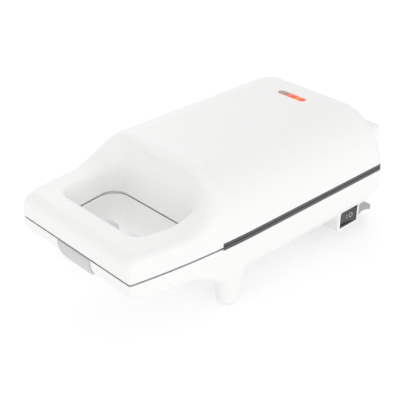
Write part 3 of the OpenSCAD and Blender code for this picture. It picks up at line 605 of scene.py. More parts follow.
@dataclass(frozen=True)
class Metal:
    """Bare metal with fine brush lines along one axis and slight stains."""

    name: str
    colour: Triple
    roughness: float = 0.3
    lines: Triple = (900.0, 30.0, 900.0)

    def make(self) -> Material:
        """Builds the material."""
        nodes = Nodes(self.name)
        mapping = nodes.add("ShaderNodeMapping")
        mapping.inputs["Scale"].default_value = self.lines
        nodes.link(nodes.places, mapping.inputs["Vector"])
        brush = nodes.add("ShaderNodeTexNoise")
        brush.inputs["Scale"].default_value = 1.0
        brush.inputs["Detail"].default_value = 3.0
        nodes.link(mapping.outputs["Vector"], brush.inputs["Vector"])
        darker = tuple(c * 0.8 for c in self.colour)
        rough = nodes.spread(brush.outputs["Fac"], self.roughness - 0.08, self.roughness + 0.14)
        nodes.give({"Base Color": nodes.blend(nodes.noise(90.0, 4), darker, self.colour),
                    "Roughness": rough, "Metallic": 1.0})
        nodes.bump(brush.outputs["Fac"], 0.3, 0.02)
        return nodes.material


@dataclass(frozen=True)
class Coating:
    """Dark non-stick coating with fine flecks over a cast surface."""

    name: str
    colour: Triple = (0.084, 0.084, 0.083)
    fleck: Triple = (0.2, 0.2, 0.2)
    roughness: float = 0.36

    def make(self) -> Material:
        """Builds the material."""
        nodes = Nodes(self.name)
        cells = nodes.add("ShaderNodeTexVoronoi")
        cells.inputs["Scale"].default_value = 1500.0
        nodes.link(nodes.places, cells.inputs["Vector"])
        flecks = nodes.spread(cells.outputs["Distance"], 1.0, 0.0, 0.1, 0.22)
        sparse = nodes.calc("MULTIPLY", flecks, nodes.spread(nodes.noise(700.0, 1), 0.0, 0.8, 0.5, 0.62))
        rough = nodes.spread(nodes.noise(150.0, 5), self.roughness - 0.05, self.roughness + 0.08)
        nodes.give({"Base Color": nodes.blend(sparse, self.colour, self.fleck), "Roughness": rough, "IOR": 1.42})
        nodes.bump(nodes.noise(900.0, 4), 0.5, 0.03)
        return nodes.material


@dataclass(frozen=True)
class Window:
    """Tinted lamp window: one end glows over its lit lamp and the other end stays dull."""

    name: str
    lamp_x: float = 6.4
    glow: Triple = (0.86, 0.07, 0.015)
    hot: Triple = (1.0, 0.25, 0.04)
    dull: Triple = (0.42, 0.27, 0.26)
    lens_y: float = 201.0 - WHOLE_LENGTH / 2
    spots: tuple[float, float] = (-4.9, 6.8)
    spot_r: float = 1.5
    dark: Triple = (0.16, 0.05, 0.04)

    def make(self) -> Material:
        """Builds the material."""
        nodes = Nodes(self.name)
        parts = nodes.place_parts()
        along = nodes.calc("ADD", parts["X"], nodes.calc("MULTIPLY", nodes.noise(300.0, 2), 0.002))
        lit = nodes.spread(along, 0.0, 1.0, -5.5 * MM, 1.5 * MM)
        off = nodes.calc("ABSOLUTE", nodes.calc("SUBTRACT", parts["X"], self.lamp_x * MM))
        core = nodes.spread(off, 1.0, 0.0, 0.4 * MM, 3.2 * MM)
        colour = nodes.blend(core, nodes.blend(lit, self.dull, self.glow), self.hot)
        across = nodes.calc("ABSOLUTE", nodes.calc("SUBTRACT", parts["Y"], self.lens_y * MM))
        for spot in self.spots:
            beside = nodes.calc("ABSOLUTE", nodes.calc("SUBTRACT", parts["X"], spot * MM))
            squares = [nodes.calc("POWER", part, 2.0) for part in (beside, across)]
            away = nodes.calc("SQRT", nodes.calc("ADD", *squares))
            shade = nodes.spread(away, 0.75, 0.0, 0.4 * self.spot_r * MM, self.spot_r * MM)
            colour = nodes.blend(shade, colour, self.dark)
        nodes.give({"Base Color": colour, "Emission Color": colour, "IOR": 1.49,
                    "Emission Strength": nodes.spread(lit, 0.02, 0.42, 0, 1),
                    "Roughness": nodes.spread(nodes.noise(200.0, 2), 0.08, 0.14)})
        nodes.bump(nodes.noise(500.0, 1), 0.2, 0.02)
        return nodes.material


class Finishes:
    """Every finish of the toaster, made once."""

    def __init__(self) -> None:
        """Builds the materials."""
        self.white = Plastic("white_moulding", (0.87, 0.87, 0.862)).make()
        self.grey = Plastic("grey_moulding", (0.6, 0.605, 0.61), 0.03, 0.45).make()
        self.stand = Plastic("stand_grey", (0.37, 0.374, 0.378), 0.03, 0.5).make()
        self.black = Plastic("switch_black", (0.06, 0.06, 0.061), 0.1, 0.4, 0.02, 1800.0).make()
        self.mark = Plastic("switch_marks", (0.36, 0.36, 0.36), 0.03, 0.5).make()
        self.ceramic = Plastic("ceramic", (0.72, 0.68, 0.58), 0.06, 0.7, 0.03, 1200.0).make()
        self.wire = Plastic("wire_sleeve", (0.18, 0.18, 0.2), 0.1, 0.65, 0.03, 1500.0).make()
        self.rubber = Plastic("foot_rubber", (0.08, 0.08, 0.082), 0.15, 0.75, 0.05, 900.0).make()
        self.lamp_red = Plastic("lamp_glass_red", (0.8, 0.1, 0.04), 0.1, 0.12).make()
        self.lamp_green = Plastic("lamp_glass_green", (0.2, 0.45, 0.2), 0.1, 0.12).make()
        self.coating = Coating("plate_coating").make()
        self.steel = Metal("screw_steel", (0.62, 0.63, 0.64), 0.28).make()
        self.sheath = Metal("heater_sheath", (0.35, 0.33, 0.31), 0.42).make()
        self.tray = Metal("reflector_steel", (0.66, 0.67, 0.69), 0.24).make()
        self.window = Window("lamp_window").make()


def finish_nodes(**materials: Material) -> None:
    """Gives each CAD node that stays a finish of its own."""
    for name, material in materials.items():
        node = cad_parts[name]
        if not node.material_slots:
            node.data.materials.append(material)
        for slot in node.material_slots:
            slot.material = material


# ---------------------------------------------------------------- shared shape


@dataclass(frozen=True)
class Shell:
    """Sizes that several pieces share."""

    width: float = 130.0
    front_width: float = 111.5
    taper: float = 100.0
    length: float = 233.0
    front_corner: float = 1.4
    corner_gain: float = 2.6
    corner_rise: Point = (3.0, 14.0)
    rear_corner: float = 6.0
    hole_front: float = 19.5
    hole_rear: float = 68.0
    hole_front_w: float = 75.0
    hole_rear_w: float = 88.0
    hole_front_r: float = 6.0
    hole_rear_r: float = 13.0
    rim_front: float = 69.2
    rim_fit: float = 0.3
    upper_rim_t: float = 2.7
    lower_rim_t: float = 2.3
    tub_depth: float = 37.0
    stand_t: float = 4.5
    axis_y: float = 238.2
    axis_z: float = 4.0
    knuckle_r: float = 4.7
    ear_x: float = 37.0
    ear_w: float = 8.0
    leg_x: float = 51.0
    leg_y: float = 86.6
    foot_x: float = 25.0
    foot_y: float = 214.0
    pad_r: float = 4.5
    pad_h: float = 2.0
    pad_fit: float = 0.1
    screw_x: float = 36.0
    screw_y: float = 222.0
    switch_x: float = 60.2
    switch_y: float = 201.9
    switch_z: float = -33.0
    switch_w: float = 19.4
    switch_h: float = 13.8

    def half_width(self, y: Array) -> Array:
        """Returns the half width at a distance from the front."""
        draw = (self.width - self.front_width) / 2
        radius = (self.taper ** 2 + draw ** 2) / (2 * draw)
        run = np.clip(self.taper - y, 0, self.taper + 20)
        return self.width / 2 - radius + np.sqrt(radius ** 2 - run ** 2)

    def wall(self, x: Array, y: Array, away: Array) -> Array:
        """Returns the field of the side and front walls, at a distance from the parting plane."""
        corner = self.front_corner + self.corner_gain * ease(away, *self.corner_rise)
        return round_max(np.abs(x) - self.half_width(y), -y + 0 * x, corner)

    def outline(self, inset: float, start: float) -> list[Point]:
        """Returns the outline from above behind a distance from the front, drawn in by inset."""
        ys = np.linspace(start, self.taper, 9)
        side = [(float(x) - inset, float(y)) for x, y in zip(self.half_width(ys), ys)]
        half = side + [(self.width / 2 - inset, self.length - inset)]
        radii = [0.0] * len(side) + [self.rear_corner - inset]
        return rounded(half + [(-x, y) for x, y in reversed(half)], radii + radii[::-1])

    def hole(self, x: Array, y: Array) -> Array:
        """Returns the field of the finger hole seen from above, negative inside it."""
        spread = (self.hole_rear_w - self.hole_front_w) / 2 / (self.hole_rear - self.hole_front)
        half = self.hole_front_w / 2 + (y - self.hole_front) * spread
        side = (np.abs(x) - half) / math.hypot(1, spread)
        near = round_max(side, self.hole_front - y + 0 * x, self.hole_front_r)
        return round_max(near, y - self.hole_rear + 0 * x, self.hole_rear_r)

    def hole_outline(self, wider: float) -> list[Point]:
        """Returns the outline of the finger hole, widened."""
        f, r = self.hole_front_w / 2 + wider, self.hole_rear_w / 2 + wider
        a, b = self.hole_front - wider, self.hole_rear + wider
        radii = [self.hole_front_r + wider] * 2 + [self.hole_rear_r + wider] * 2
        return rounded([(-f, a), (f, a), (r, b), (-r, b)], radii)

    def open_rim(self, thing: Thing, cut: Point, recess: Point, rear: float) -> None:
        """Opens a moulding at the parting plane and lets its edge in for a plate's rim.

        Args:
            thing: The moulding.
            cut: Heights between which all of it goes.
            recess: Heights between which the rim lies.
            rear: Rear end of the recess.
        """
        half = self.width / 2 + 8
        work_on(thing, block("front cut", (-half, -5, cut[0]), (half, BEHIND, cut[1])), Cut.TAKE)
        rim = block("rim cut", (-half, self.rim_front - self.rim_fit, recess[0]), (half, rear, recess[1]))
        work_on(rim, prism("collar", self.hole_outline(WALL), -9, 9), Cut.TAKE)
        work_on(thing, rim, Cut.TAKE)


@dataclass
class Lid:
    """Lid: domed moulding with the scooped front, the handle loop and the hinge hump."""

    shell: Shell
    finishes: Finishes
    height: float = 44.0
    handle: float = 17.0
    shoulder: float = 35.0
    front_r: float = 8.0
    arm_r: float = 4.5
    rear_top_r: float = 18.0
    scoop_y: float = 67.2
    scoop_r: float = 24.0
    scoop_lean: float = 10.0
    rim_r: float = 6.0
    lip_front_r: float = 2.0
    lip_side_r: float = 4.5
    lip_rear_r: float = 8.0
    rear_rise: Point = (0.0, 24.0)
    front_blend: Point = (-14.0, -2.0)
    rim_rise: Point = (17.0, 30.0)
    lip_side_y: Point = (21.0, 30.0)
    lip_rear_y: Point = (54.0, 66.0)
    lip_fade: Point = (36.0, 42.0)
    hump_half: float = 52.0
    hump_depth: float = 10.0
    hump_low: float = 6.0
    hump_top: float = 26.0
    knuckle_w: float = 6.5
    lens_y: float = 201.0
    lens_l: float = 25.2
    lens_w: float = 6.2
    lens_fit: float = 0.1

    def field(self, x: Array, y: Array, z: Array) -> Array:
        """Returns the field of the outer form without the hinge."""
        lean = math.radians(self.scoop_lean)
        arch = round_max(self.shell.wall(x, y, z), z - self.height, self.shoulder)
        rear_r = shift(z, self.rear_rise, self.shell.rear_corner, self.rear_top_r)
        arch = round_max(arch, y - self.shell.length, rear_r)
        scoop = (self.scoop_y + (z - self.handle) * math.tan(lean) - y) * math.cos(lean)
        profile = round_min(z - self.handle + 0 * y, scoop, self.scoop_r)
        edge = shift(-y, self.front_blend, self.arm_r, self.front_r)
        form = round_max(profile, arch, shift(z, self.rim_rise, edge, self.rim_r))
        lip = shift(y, self.lip_side_y, self.lip_front_r, self.lip_side_r)
        lip = shift(y, self.lip_rear_y, lip, self.lip_rear_r) * (1 - ease(z, *self.lip_fade))
        return round_max(form, -self.shell.hole(x, y), lip + LEAST_R)

    def hump(self, x: Array, y: Array, z: Array) -> Array:
        """Returns the field of the hump behind the lid."""
        ends = round_max(np.abs(x) - self.hump_half, y - self.shell.length - self.hump_depth, 3.0)
        top = round_max(ends, z - self.hump_top, 4.0)
        return np.maximum(np.maximum(top, self.hump_low - z), self.shell.length - 12 - y)

    def outer(self, x: Array, y: Array, z: Array) -> Array:
        """Returns the field of the whole outer form, closed below the parting plane."""
        form = round_min(self.field(x, y, z), self.hump(x, y, z), 2.0)
        return np.maximum(form, -2.0 - z)

    def inner(self, x: Array, y: Array, z: Array) -> Array:
        """Returns the field of the hollow inside the walls."""
        return np.maximum(self.field(x, y, z) + WALL, -3.0 - z)

    def opening(self, fit: float, degrees: float) -> list[Point]:
        """Returns the outline of the lamp window, drawn in by fit."""
        a, b, y = self.lens_l / 2 - fit, self.lens_w / 2 - fit, self.lens_y
        return rounded([(-a, y - b), (a, y - b), (a, y + b), (-a, y + b)], [b - 0.01] * 4, degrees)

    def moulding(self) -> None:
        """Builds the white moulding."""
        shell, top = self.shell, self.height
        half = shell.width / 2 + 3
        cover = net("lid_moulding", self.outer, (-half, -3, -4), (half, 246, top + 3), SKIN_STEP)
        work_on(cover, net("hollow", self.inner, (-half, -3, -5), (half, 236, top + 3), HOLLOW_STEP), Cut.TAKE)
        shell.open_rim(cover, (-6, HALF_GAP), (-5, HALF_GAP + shell.upper_rim_t), shell.length + 0.05)
        work_on(cover, prism("window", self.opening(0.0, 6.0), top - 8, top + 4), Cut.TAKE)
        for side in (-1, 1):
            near, far = sorted((side * (shell.ear_x - 0.4), side * (shell.ear_x + shell.ear_w + 0.4)))
            slot = block("ear slot", (near, shell.length, -5), (far, BEHIND, shell.axis_z + 7.8))
            work_on(cover, slot, Cut.TAKE)
            near, far = sorted((side * (self.hump_half - self.knuckle_w), side * self.hump_half))
            knuckle = rod("knuckle", (shell.axis_y, shell.axis_z), shell.knuckle_r, near, far)
            work_on(knuckle, block("web", (near, shell.axis_y - shell.knuckle_r, shell.axis_z),
                                   (far, shell.axis_y + shell.knuckle_r, self.hump_low + 1)), Cut.JOIN)
            bevel(knuckle, 0.5, 2)
            work_on(cover, knuckle, Cut.JOIN)
        seat(cover, self.finishes.white, Body.LID, "white_plastic", "lid_cover")

    def window(self) -> None:
        """Builds the lamp window."""
        lens = prism("lamp_window", self.opening(self.lens_fit, 9.0), self.height - 3, self.height)
        bevel(lens, 0.5, 3)
        seat(lens, self.finishes.window, Body.LID, "lens", "lamp_lens")

    def build(self) -> None:
        """Builds and seats the lid's pieces."""
        self.moulding()
        self.window()
        own = self.finishes
        finish_nodes(upper_handle_cover=own.white, upper_heater=own.sheath, upper_reflector=own.tray,
                     thermal_fuse=own.ceramic, lid_wiring=own.wire, hinge_pins=own.steel,
                     lamp_holder=own.ceramic, power_lamp=own.lamp_red, ready_lamp=own.lamp_green)


@dataclass
class Casing:
    """Casing: tub, lower handle loop, front legs, switch housing and hinge ears."""

    shell: Shell
    finishes: Finishes
    handle: float = 16.5
    tub_r: float = 25.0
    arm_r: float = 5.0
    front_r: float = 13.0
    rear_r: float = 14.0
    throat_y: float = 58.0
    throat_len: float = 14.0
    throat_r: float = 12.0
    front_blend: Point = (-16.0, -5.0)
    tub_blend: Point = (56.0, 96.0)
    rear_rise: Point = (-30.0, -14.0)
    lip_end: Point = (44.0, 54.0)
    lip_rise: Point = (-9.0, -4.0)
    leg_top_r: float = 10.0
    leg_r: float = 7.3
    housing_wall: float = 2.1
    housing_in: float = 33.0
    latch_half: float = 17.2
    lip_r: float = 2.0
    gland_x: float = -22.0
    gland_z: float = -20.0
    gland_side: float = 9.0
    seam_drop: float = 0.8
    hole_seam_drop: float = 0.9

    def field(self, x: Array, y: Array, z: Array) -> Array:
        """Returns the field of the tub and the handle loop."""
        depth = self.shell.tub_depth
        drop = depth - self.handle
        reach = math.hypot(drop, self.throat_len)
        slope = ((self.throat_y - y) * drop - (z + self.handle) * self.throat_len) / reach
        tub = round_max(slope, -z - depth + 0 * y, self.throat_r)
        low = round_min(tub, -z - self.handle + 0 * y, self.throat_r)
        edge = shift(-y, self.front_blend, self.arm_r, self.front_r)
        form = round_max(low, self.shell.wall(x, y, -z), shift(y, self.tub_blend, edge, self.tub_r))
        rear_r = shift(z, self.rear_rise, self.rear_r, self.shell.rear_corner)
        form = round_max(form, y - self.shell.length, rear_r)
        lip = self.lip_r * (1 - ease(y, *self.lip_end)) * (1 - ease(z, *self.lip_rise))
        return round_max(form, -self.shell.hole(x, y), lip + LEAST_R)

    def leg(self, x: Array, y: Array, z: Array) -> Array:
        """Returns the field of the front legs."""
        away = np.hypot(np.abs(x) - self.shell.leg_x, y - self.shell.leg_y)
        ground = FOOT_GAP - SEAM_HEIGHT
        share = (z - ground) / (-self.shell.tub_depth - ground)
        side = away - self.leg_r - (self.leg_top_r - self.leg_r) * np.clip(share, 0, 1.4)
        return np.maximum(round_max(side, ground - z, 2.5), z + 24)

    def housing(self, x: Array, y: Array, z: Array) -> Array:
        """Returns the field of the housing round the switch."""
        shell, wall = self.shell, self.housing_wall
        along = np.abs(y - shell.switch_y) - shell.switch_w / 2 - wall
        across = round_max(along, np.abs(z - shell.switch_z) - shell.switch_h / 2 - wall, 1.2)
        return round_max(across, np.maximum(x - shell.switch_x, self.housing_in - x), 0.6)

    def outer(self, x: Array, y: Array, z: Array) -> Array:
        """Returns the field of the whole outer form, closed above the parting plane."""
        form = round_min(self.field(x, y, z), self.leg(x, y, z), 4.0)
        form = round_min(form, self.housing(x, y, z), 1.5)
        return np.maximum(form, z - 2.0)

    def inner(self, x: Array, y: Array, z: Array) -> Array:
        """Returns the field of the hollow inside the walls."""
        return np.maximum(self.field(x, y, z) + WALL, z - 3.0)

    def ear(self, side: int) -> Thing:
        """Builds one hinge ear.

        Args:
            side: -1 for the left ear, 1 for the right one.

        Returns:
            The ear, with its bevels.
        """
        shell = self.shell
        y, z, r = shell.axis_y, shell.axis_z, shell.knuckle_r
        arc = [(y + r * math.cos(math.radians(a)), z + r * math.sin(math.radians(a))) for a in range(0, 181, 9)]
        top, rear = -shell.lower_rim_t - 0.5, shell.length - 1
        near, far = sorted((side * shell.ear_x, side * (shell.ear_x + shell.ear_w)))
        ear = prism("ear", arc + [(y - r, top), (rear, top), (rear, -24), (y + r, -6)], near, far, 0)
        bevel(ear, 0.5, 2)
        return ear

    def seam_cutters(self) -> list[Thing]:
        """Builds the cutters that slope the walls' tops down behind the seam, in the hole and outside."""
        top, low, back, deep = -self.seam_drop, -self.hole_seam_drop, 2.3, 2.0
        shell = self.shell
        hole = prism("hole edge", shell.hole_outline(back), low - deep, HALF_GAP)
        work_on(hole, loft("cone", [(shell.hole_outline(-2.1), low + 2.0), (shell.hole_outline(0.02), low),
                                    (shell.hole_outline(back + 0.08), low - deep - 0.06)]), Cut.TAKE)
        rim = loft("outer edge", [(shell.outline(back, back), top - deep), (shell.outline(0.0, 0.0), top),
                                  (shell.outline(-1.2, -1.2), top + 1.04)])
        inside = prism("inside", shell.outline(back - 0.02, back - 0.02), top - deep - 1, top + 2)
        work_on(rim, inside, Cut.TAKE)
        return [hole, rim]

    def moulding(self) -> None:
        """Builds the white moulding."""
        shell = self.shell
        half, rear = shell.width / 2 + 3, shell.length
        tub = net("casing_moulding", self.outer, (-half, -3, -SEAM_HEIGHT - 2), (half, 236, 4), SKIN_STEP)
        hollow = net("hollow", self.inner, (-half, -3, -shell.tub_depth - 2), (half, 236, 5), HOLLOW_STEP)
        work_on(tub, hollow, Cut.TAKE)
        shell.open_rim(tub, (-self.seam_drop, 6), (-shell.lower_rim_t, 5), BEHIND)
        x, z, half_g = self.gland_x, self.gland_z, self.gland_side / 2
        work_on(tub, block("gland opening", (x - half_g, rear - 4, z - half_g),
                           (x + half_g, rear + 2, z + half_g)), Cut.TAKE)
        for cutter in self.seam_cutters():
            work_on(tub, cutter, Cut.TAKE)
        for side in (-1, 1):
            work_on(tub, self.ear(side), Cut.JOIN)
            work_on(tub, rod("pad recess", (side * shell.leg_x, shell.leg_y), shell.pad_r + shell.pad_fit,
                             -SEAM_HEIGHT - 1, shell.pad_h - SEAM_HEIGHT, 2), Cut.TAKE)
        across = self.latch_half
        work_on(tub, block("latch opening", (-across, -1, -self.handle - 1), (across, 13.8, 1)), Cut.TAKE)
        y, z, half_w, half_h = shell.switch_y, shell.switch_z, shell.switch_w / 2, shell.switch_h / 2
        work_on(tub, block("switch opening", (self.housing_in + 2, y - half_w, z - half_h),
                           (shell.switch_x + 1, y + half_w, z + half_h)), Cut.TAKE)
        seat(tub, self.finishes.white, Body.BASE, "white_plastic", "base_casing")

    def build(self) -> None:
        """Builds and seats the casing's pieces."""
        self.moulding()
        own = self.finishes
        finish_nodes(lower_handle_cover=own.white, lower_heater=own.sheath, lower_reflector=own.tray,
                     thermostat=own.steel, terminal_block=own.ceramic, base_wiring=own.wire,
                     cord_gland=own.grey, latch_pin=own.steel)


# ---------------------------------------------------------------- plates


@dataclass
class Plates:
    """Pair of cast plates: rims, bread pockets and the ridges that halve the sandwich."""

    shell: Shell
    finishes: Finishes
    inset: float = 0.4
    side: float = 9.0
    front: float = 84.0
    rear: float = 21.0
    depth: float = 12.0
    draft: float = 4.0
    corner: float = 14.0
    floor_r: float = 5.0
    thickness: float = 2.5
    crimp_w: float = 3.6
    crimp_depth: float = 1.0
    ridge_h: float = 10.0
    ridge_w: float = 9.0
    crest_half: float = 2.2
    crest_r: float = 1.8

    def pocket(self, inset: float) -> list[Point]:
        """Returns the outline of the bread pocket, drawn in by inset."""
        half = self.shell.width / 2 - self.side - inset
        low, high = self.front + inset, self.shell.length - self.rear - inset
        corner = self.corner - max(inset, 0) * 0.5
        return rounded([(-half, low), (half, low), (half, high), (-half, high)], [corner] * 4)

    def bowl(self, name: str, wider: float, sign: int, start: float) -> Thing:
        """Builds the pocket's form as a solid with a rounded floor.

        Args:
            name: Name of the solid.
            wider: Distance by which it goes round the pocket.
            sign: 1 for the upper plate, -1 for the lower one.
            start: Height at which it begins.

        Returns:
            The solid.
        """
        floor, r = self.depth + wider, self.floor_r + wider
        rings = [(self.pocket(-wider), sign * start)]
        for a in range(0, 91, 15):
            up = floor - r + r * math.sin(math.radians(a))
            slope = self.draft * up / floor
            rings.append((self.pocket(slope + r * (1 - math.cos(math.radians(a))) - wider), sign * up))
        return loft(name, rings)

    def plate(self, name: str, rim_t: float, mouth: float, sign: int) -> Thing:
        """Builds one plate.

        Args:
            name: Name of the piece.
            rim_t: Thickness of its rim.
            mouth: Distance of its mouth from the parting plane.
            sign: 1 for the upper plate, -1 for the lower one.

        Returns:
            The finished plate.
        """
        low, high = sorted((sign * mouth, sign * (mouth + rim_t)))
        plate = prism(name, self.shell.outline(self.inset, self.shell.rim_front), low, high)
        work_on(plate, prism("collar", self.shell.hole_outline(WALL + 0.3), -20, 20), Cut.TAKE)
        bevel(plate, 0.35, 3)
        work_on(plate, self.bowl("dish", self.thickness, sign, mouth + 0.6), Cut.JOIN)
        work_on(plate, self.bowl("pocket", 0.0, sign, mouth - 1), Cut.TAKE)
        low, high = sorted((sign * (mouth - 1), sign * (mouth + self.crimp_depth)))
        work_on(plate, prism("crimp", self.pocket(-self.crimp_w), low, high), Cut.TAKE)
        middle = (self.front + self.shell.length - self.rear) / 2
        crest = self.depth - self.ridge_h
        half, foot = self.ridge_w / 2, self.depth + 0.3
        corners = [(middle - half, sign * foot), (middle - self.crest_half, sign * crest),
                   (middle + self.crest_half, sign * crest), (middle + half, sign * foot)]
        half = self.shell.width / 2 - self.side - self.draft / 2
        work_on(plate, prism("ridge", rounded(corners, [0, self.crest_r, self.crest_r, 0]), -half, half, 0), Cut.JOIN)
        return plate

    def build(self) -> None:
        """Builds and seats both plates."""
        for name, rim_t, mouth, sign, body, node in (
                ("top_plate", self.shell.upper_rim_t, HALF_GAP, 1, Body.LID, "upper_plate"),
                ("bottom_plate", self.shell.lower_rim_t, 0.0, -1, Body.BASE, "lower_plate")):
            plate = self.plate(name, rim_t, mouth, sign)
            seat(plate, self.finishes.coating, body, "plate_coating", node, degrees=28.0)


# ---------------------------------------------------------------- latch


@dataclass
class Latch:
    """Grey tongue under the front of the handle, with its hook and hub."""

    finishes: Finishes
    width: float = 33.0
    radius: float = 20.0
    thickness: float = 2.6
    centre_z: float = -3.5
    top: float = -1.2
    drop: float = 17.6
    bow: float = 4.6
    corner: float = 3.0
    pin_y: float = 10.0
    pin_z: float = -8.0
    pin_r: float = 1.5
    hub: float = 1.7
    hook_y: float = 8.5
    hook_t: float = 2.0
    hook_w: float = 16.0
    hook_h: float = 7.5
    nose: float = 1.7
    rib: float = 3.0

    def face(self, radius: float) -> list[Point]:
        """Returns the side view of the tongue's face of a radius, from its upper end down."""
        wrap = math.asin((self.drop + self.centre_z) / self.radius) + math.radians(3)
        steps = [wrap * i / 24 for i in range(25)]
        return [(self.radius - radius * math.cos(a), self.centre_z - radius * math.sin(a)) for a in steps]

    def tongue(self) -> Thing:
        """Builds the tongue, whose lower edge bows downwards."""
        half, low = self.width / 2, self.bow - self.drop
        outer, inner = self.face(self.radius), self.face(self.radius - self.thickness)
        side = [(0.0, self.top)] + outer + inner[::-1] + [(self.thickness, self.top)]
        tongue = prism("latch_tongue", side, -half, half, 0)
        shares = [2 * i / 16 - 1 for i in range(1, 16)]
        corners = [(-half, 1.0), (-half, low)] + [(half * t, low - self.bow * (1 - t * t)) for t in shares]
        corners += [(half, low), (half, 1.0)]
        radii = [0, self.corner] + [0] * len(shares) + [self.corner, 0]
        work_on(tongue, prism("front view", rounded(corners, radii), -1, self.radius, 1), Cut.KEEP)
        bevel(tongue, 0.5, 3)
        return tongue

    def build(self) -> None:
        """Builds and seats the latch."""
        latch = self.tongue()
        y, z = self.pin_y, self.pin_z
        end = self.hook_y + self.hook_t
        rib = [(self.thickness - 0.4, self.top - 0.5), (end, self.top - 0.5), (y + 2, z + 1), (y, z - 3),
               self.face(self.radius - self.thickness / 2)[12]]
        for start in (-self.hook_w / 2, -self.rib / 2, self.hook_w / 2 - self.rib):
            work_on(latch, prism("rib", rib, start, start + self.rib, 0), Cut.JOIN)
        half = self.width / 2 - 1
        work_on(latch, rod("hub", (y, z), self.pin_r + self.hub, -half, half), Cut.JOIN)
        hook = [(self.hook_y, z), (end, z), (end, self.hook_h - 2), (end + self.nose, self.hook_h - 2),
                (end, self.hook_h), (self.hook_y, self.hook_h)]
        work_on(latch, prism("hook", hook, -self.hook_w / 2, self.hook_w / 2, 0), Cut.JOIN)
        work_on(latch, rod("bore", (y, z), self.pin_r + 0.05, -self.width, self.width), Cut.TAKE)
        seat(latch, self.finishes.grey, Body.LATCH, "grey_plastic", "latch")


# ---------------------------------------------------------------- switch


@dataclass
class Switch:
    """Rocker switch in the side of the casing, marked for on and off."""

    shell: Shell
    finishes: Finishes
    depth: float = 13.0
    wall: float = 1.2
    fit: float = 0.1
    pivot_in: float = 3.4
    sag: float = 1.0
    tilt: float = -6.5

    def bezel(self) -> None:
        """Builds the switch's body with its open front."""
        face, y, z = self.shell.switch_x, self.shell.switch_y, self.shell.switch_z
        solids = []
        for name, inset, start, end in (("switch_bezel", self.fit, face - self.depth, face),
                                        ("room", self.wall, face - self.depth + 3, face + 1)):
            along, up = self.shell.switch_w / 2 - inset, self.shell.switch_h / 2 - inset
            solids.append(block(name, (start, y - along, z - up), (end, y + along, z + up)))
        body, room = solids
        work_on(body, room, Cut.TAKE)
        bevel(body, 0.3, 2)
        seat(body, self.finishes.black, Body.BASE, "black_plastic", "switch_body")

    def turned(self, points: Sequence[Point]) -> list[Point]:
        """Turns points about the pivot by the rocker's tilt."""
        c, s = math.cos(math.radians(self.tilt)), math.sin(math.radians(self.tilt))
        pivot = self.shell.switch_x - self.pivot_in
        return [(pivot + x * c - y * s, self.shell.switch_y + x * s + y * c) for x, y in points]

    def face(self, y: float) -> float:
        """Returns how far the hollow face stands before the pivot."""
        return self.pivot_in - self.sag * (1 - (y / self.half_l) ** 2)

    @property
    def half_l(self) -> float:
        """Half length of the rocker."""
        return self.shell.switch_w / 2 - self.wall - 0.7

    def rocker(self) -> None:
        """Builds the rocker with its hollow face."""
        half_h = self.shell.switch_h / 2 - self.wall - 0.3
        front = [(self.face(y), y) for y in np.linspace(-self.half_l, self.half_l, 25)]
        outline = front + [(1.2, self.half_l), (-4.5, 3), (-4.5, -3), (1.2, -self.half_l)]
        z = self.shell.switch_z
        rocker = prism("rocker", self.turned(outline), z - half_h, z + half_h)
        bevel(rocker, 0.4, 3, 50)
        seat(rocker, self.finishes.black, Body.ROCKER, "black_plastic", "switch_rocker")

    def mark(self, name: str, outline: Sequence[Point], hollow: Sequence[Point]) -> None:
        """Lays a mark on the rocker's face.

        Args:
            name: Name of the mark.
            outline: Its outline, in lengths along the rocker and up it.
            hollow: Outline that is left open in it, or nothing.
        """
        solid = self.relief(name, outline)
        if hollow:
            work_on(solid, self.relief("open middle", hollow, 1.0), Cut.TAKE)
        seat(solid, self.finishes.mark, Body.ROCKER, "black_plastic")

    def relief(self, name: str, outline: Sequence[Point], extra: float = 0.0) -> Thing:
        """Builds a thin solid on the rocker's face, 0.06 mm proud of it and extra both ways."""
        points = []
        for lift in (-0.3 - extra, 0.06 + extra):
            flat = self.turned([(self.face(y) + lift, y) for y, _ in outline])
            points += [(x, y, self.shell.switch_z + up) for (x, y), (_, up) in zip(flat, outline)]
        n = len(outline)
        faces = [list(range(n)), list(range(n, 2 * n))]
        faces += [[i, (i + 1) % n, n + (i + 1) % n, n + i] for i in range(n)]
        solid = piece_from(name, np.array(points), faces)
        face_out(solid)
        return solid

    def build(self) -> None:
        """Builds and seats the switch."""
        self.bezel()
        self.rocker()
        bar = rounded([(-0.75, -2.6), (-0.2, -2.6), (-0.2, 1.4), (-0.75, 1.4)], [0.2] * 4)
        self.mark("on_mark", bar, [])
        self.mark("off_mark", ring((3.2, 0.0), (1.75, 2.1)), ring((3.2, 0.0), (1.05, 1.35)))


# ---------------------------------------------------------------- rear stand


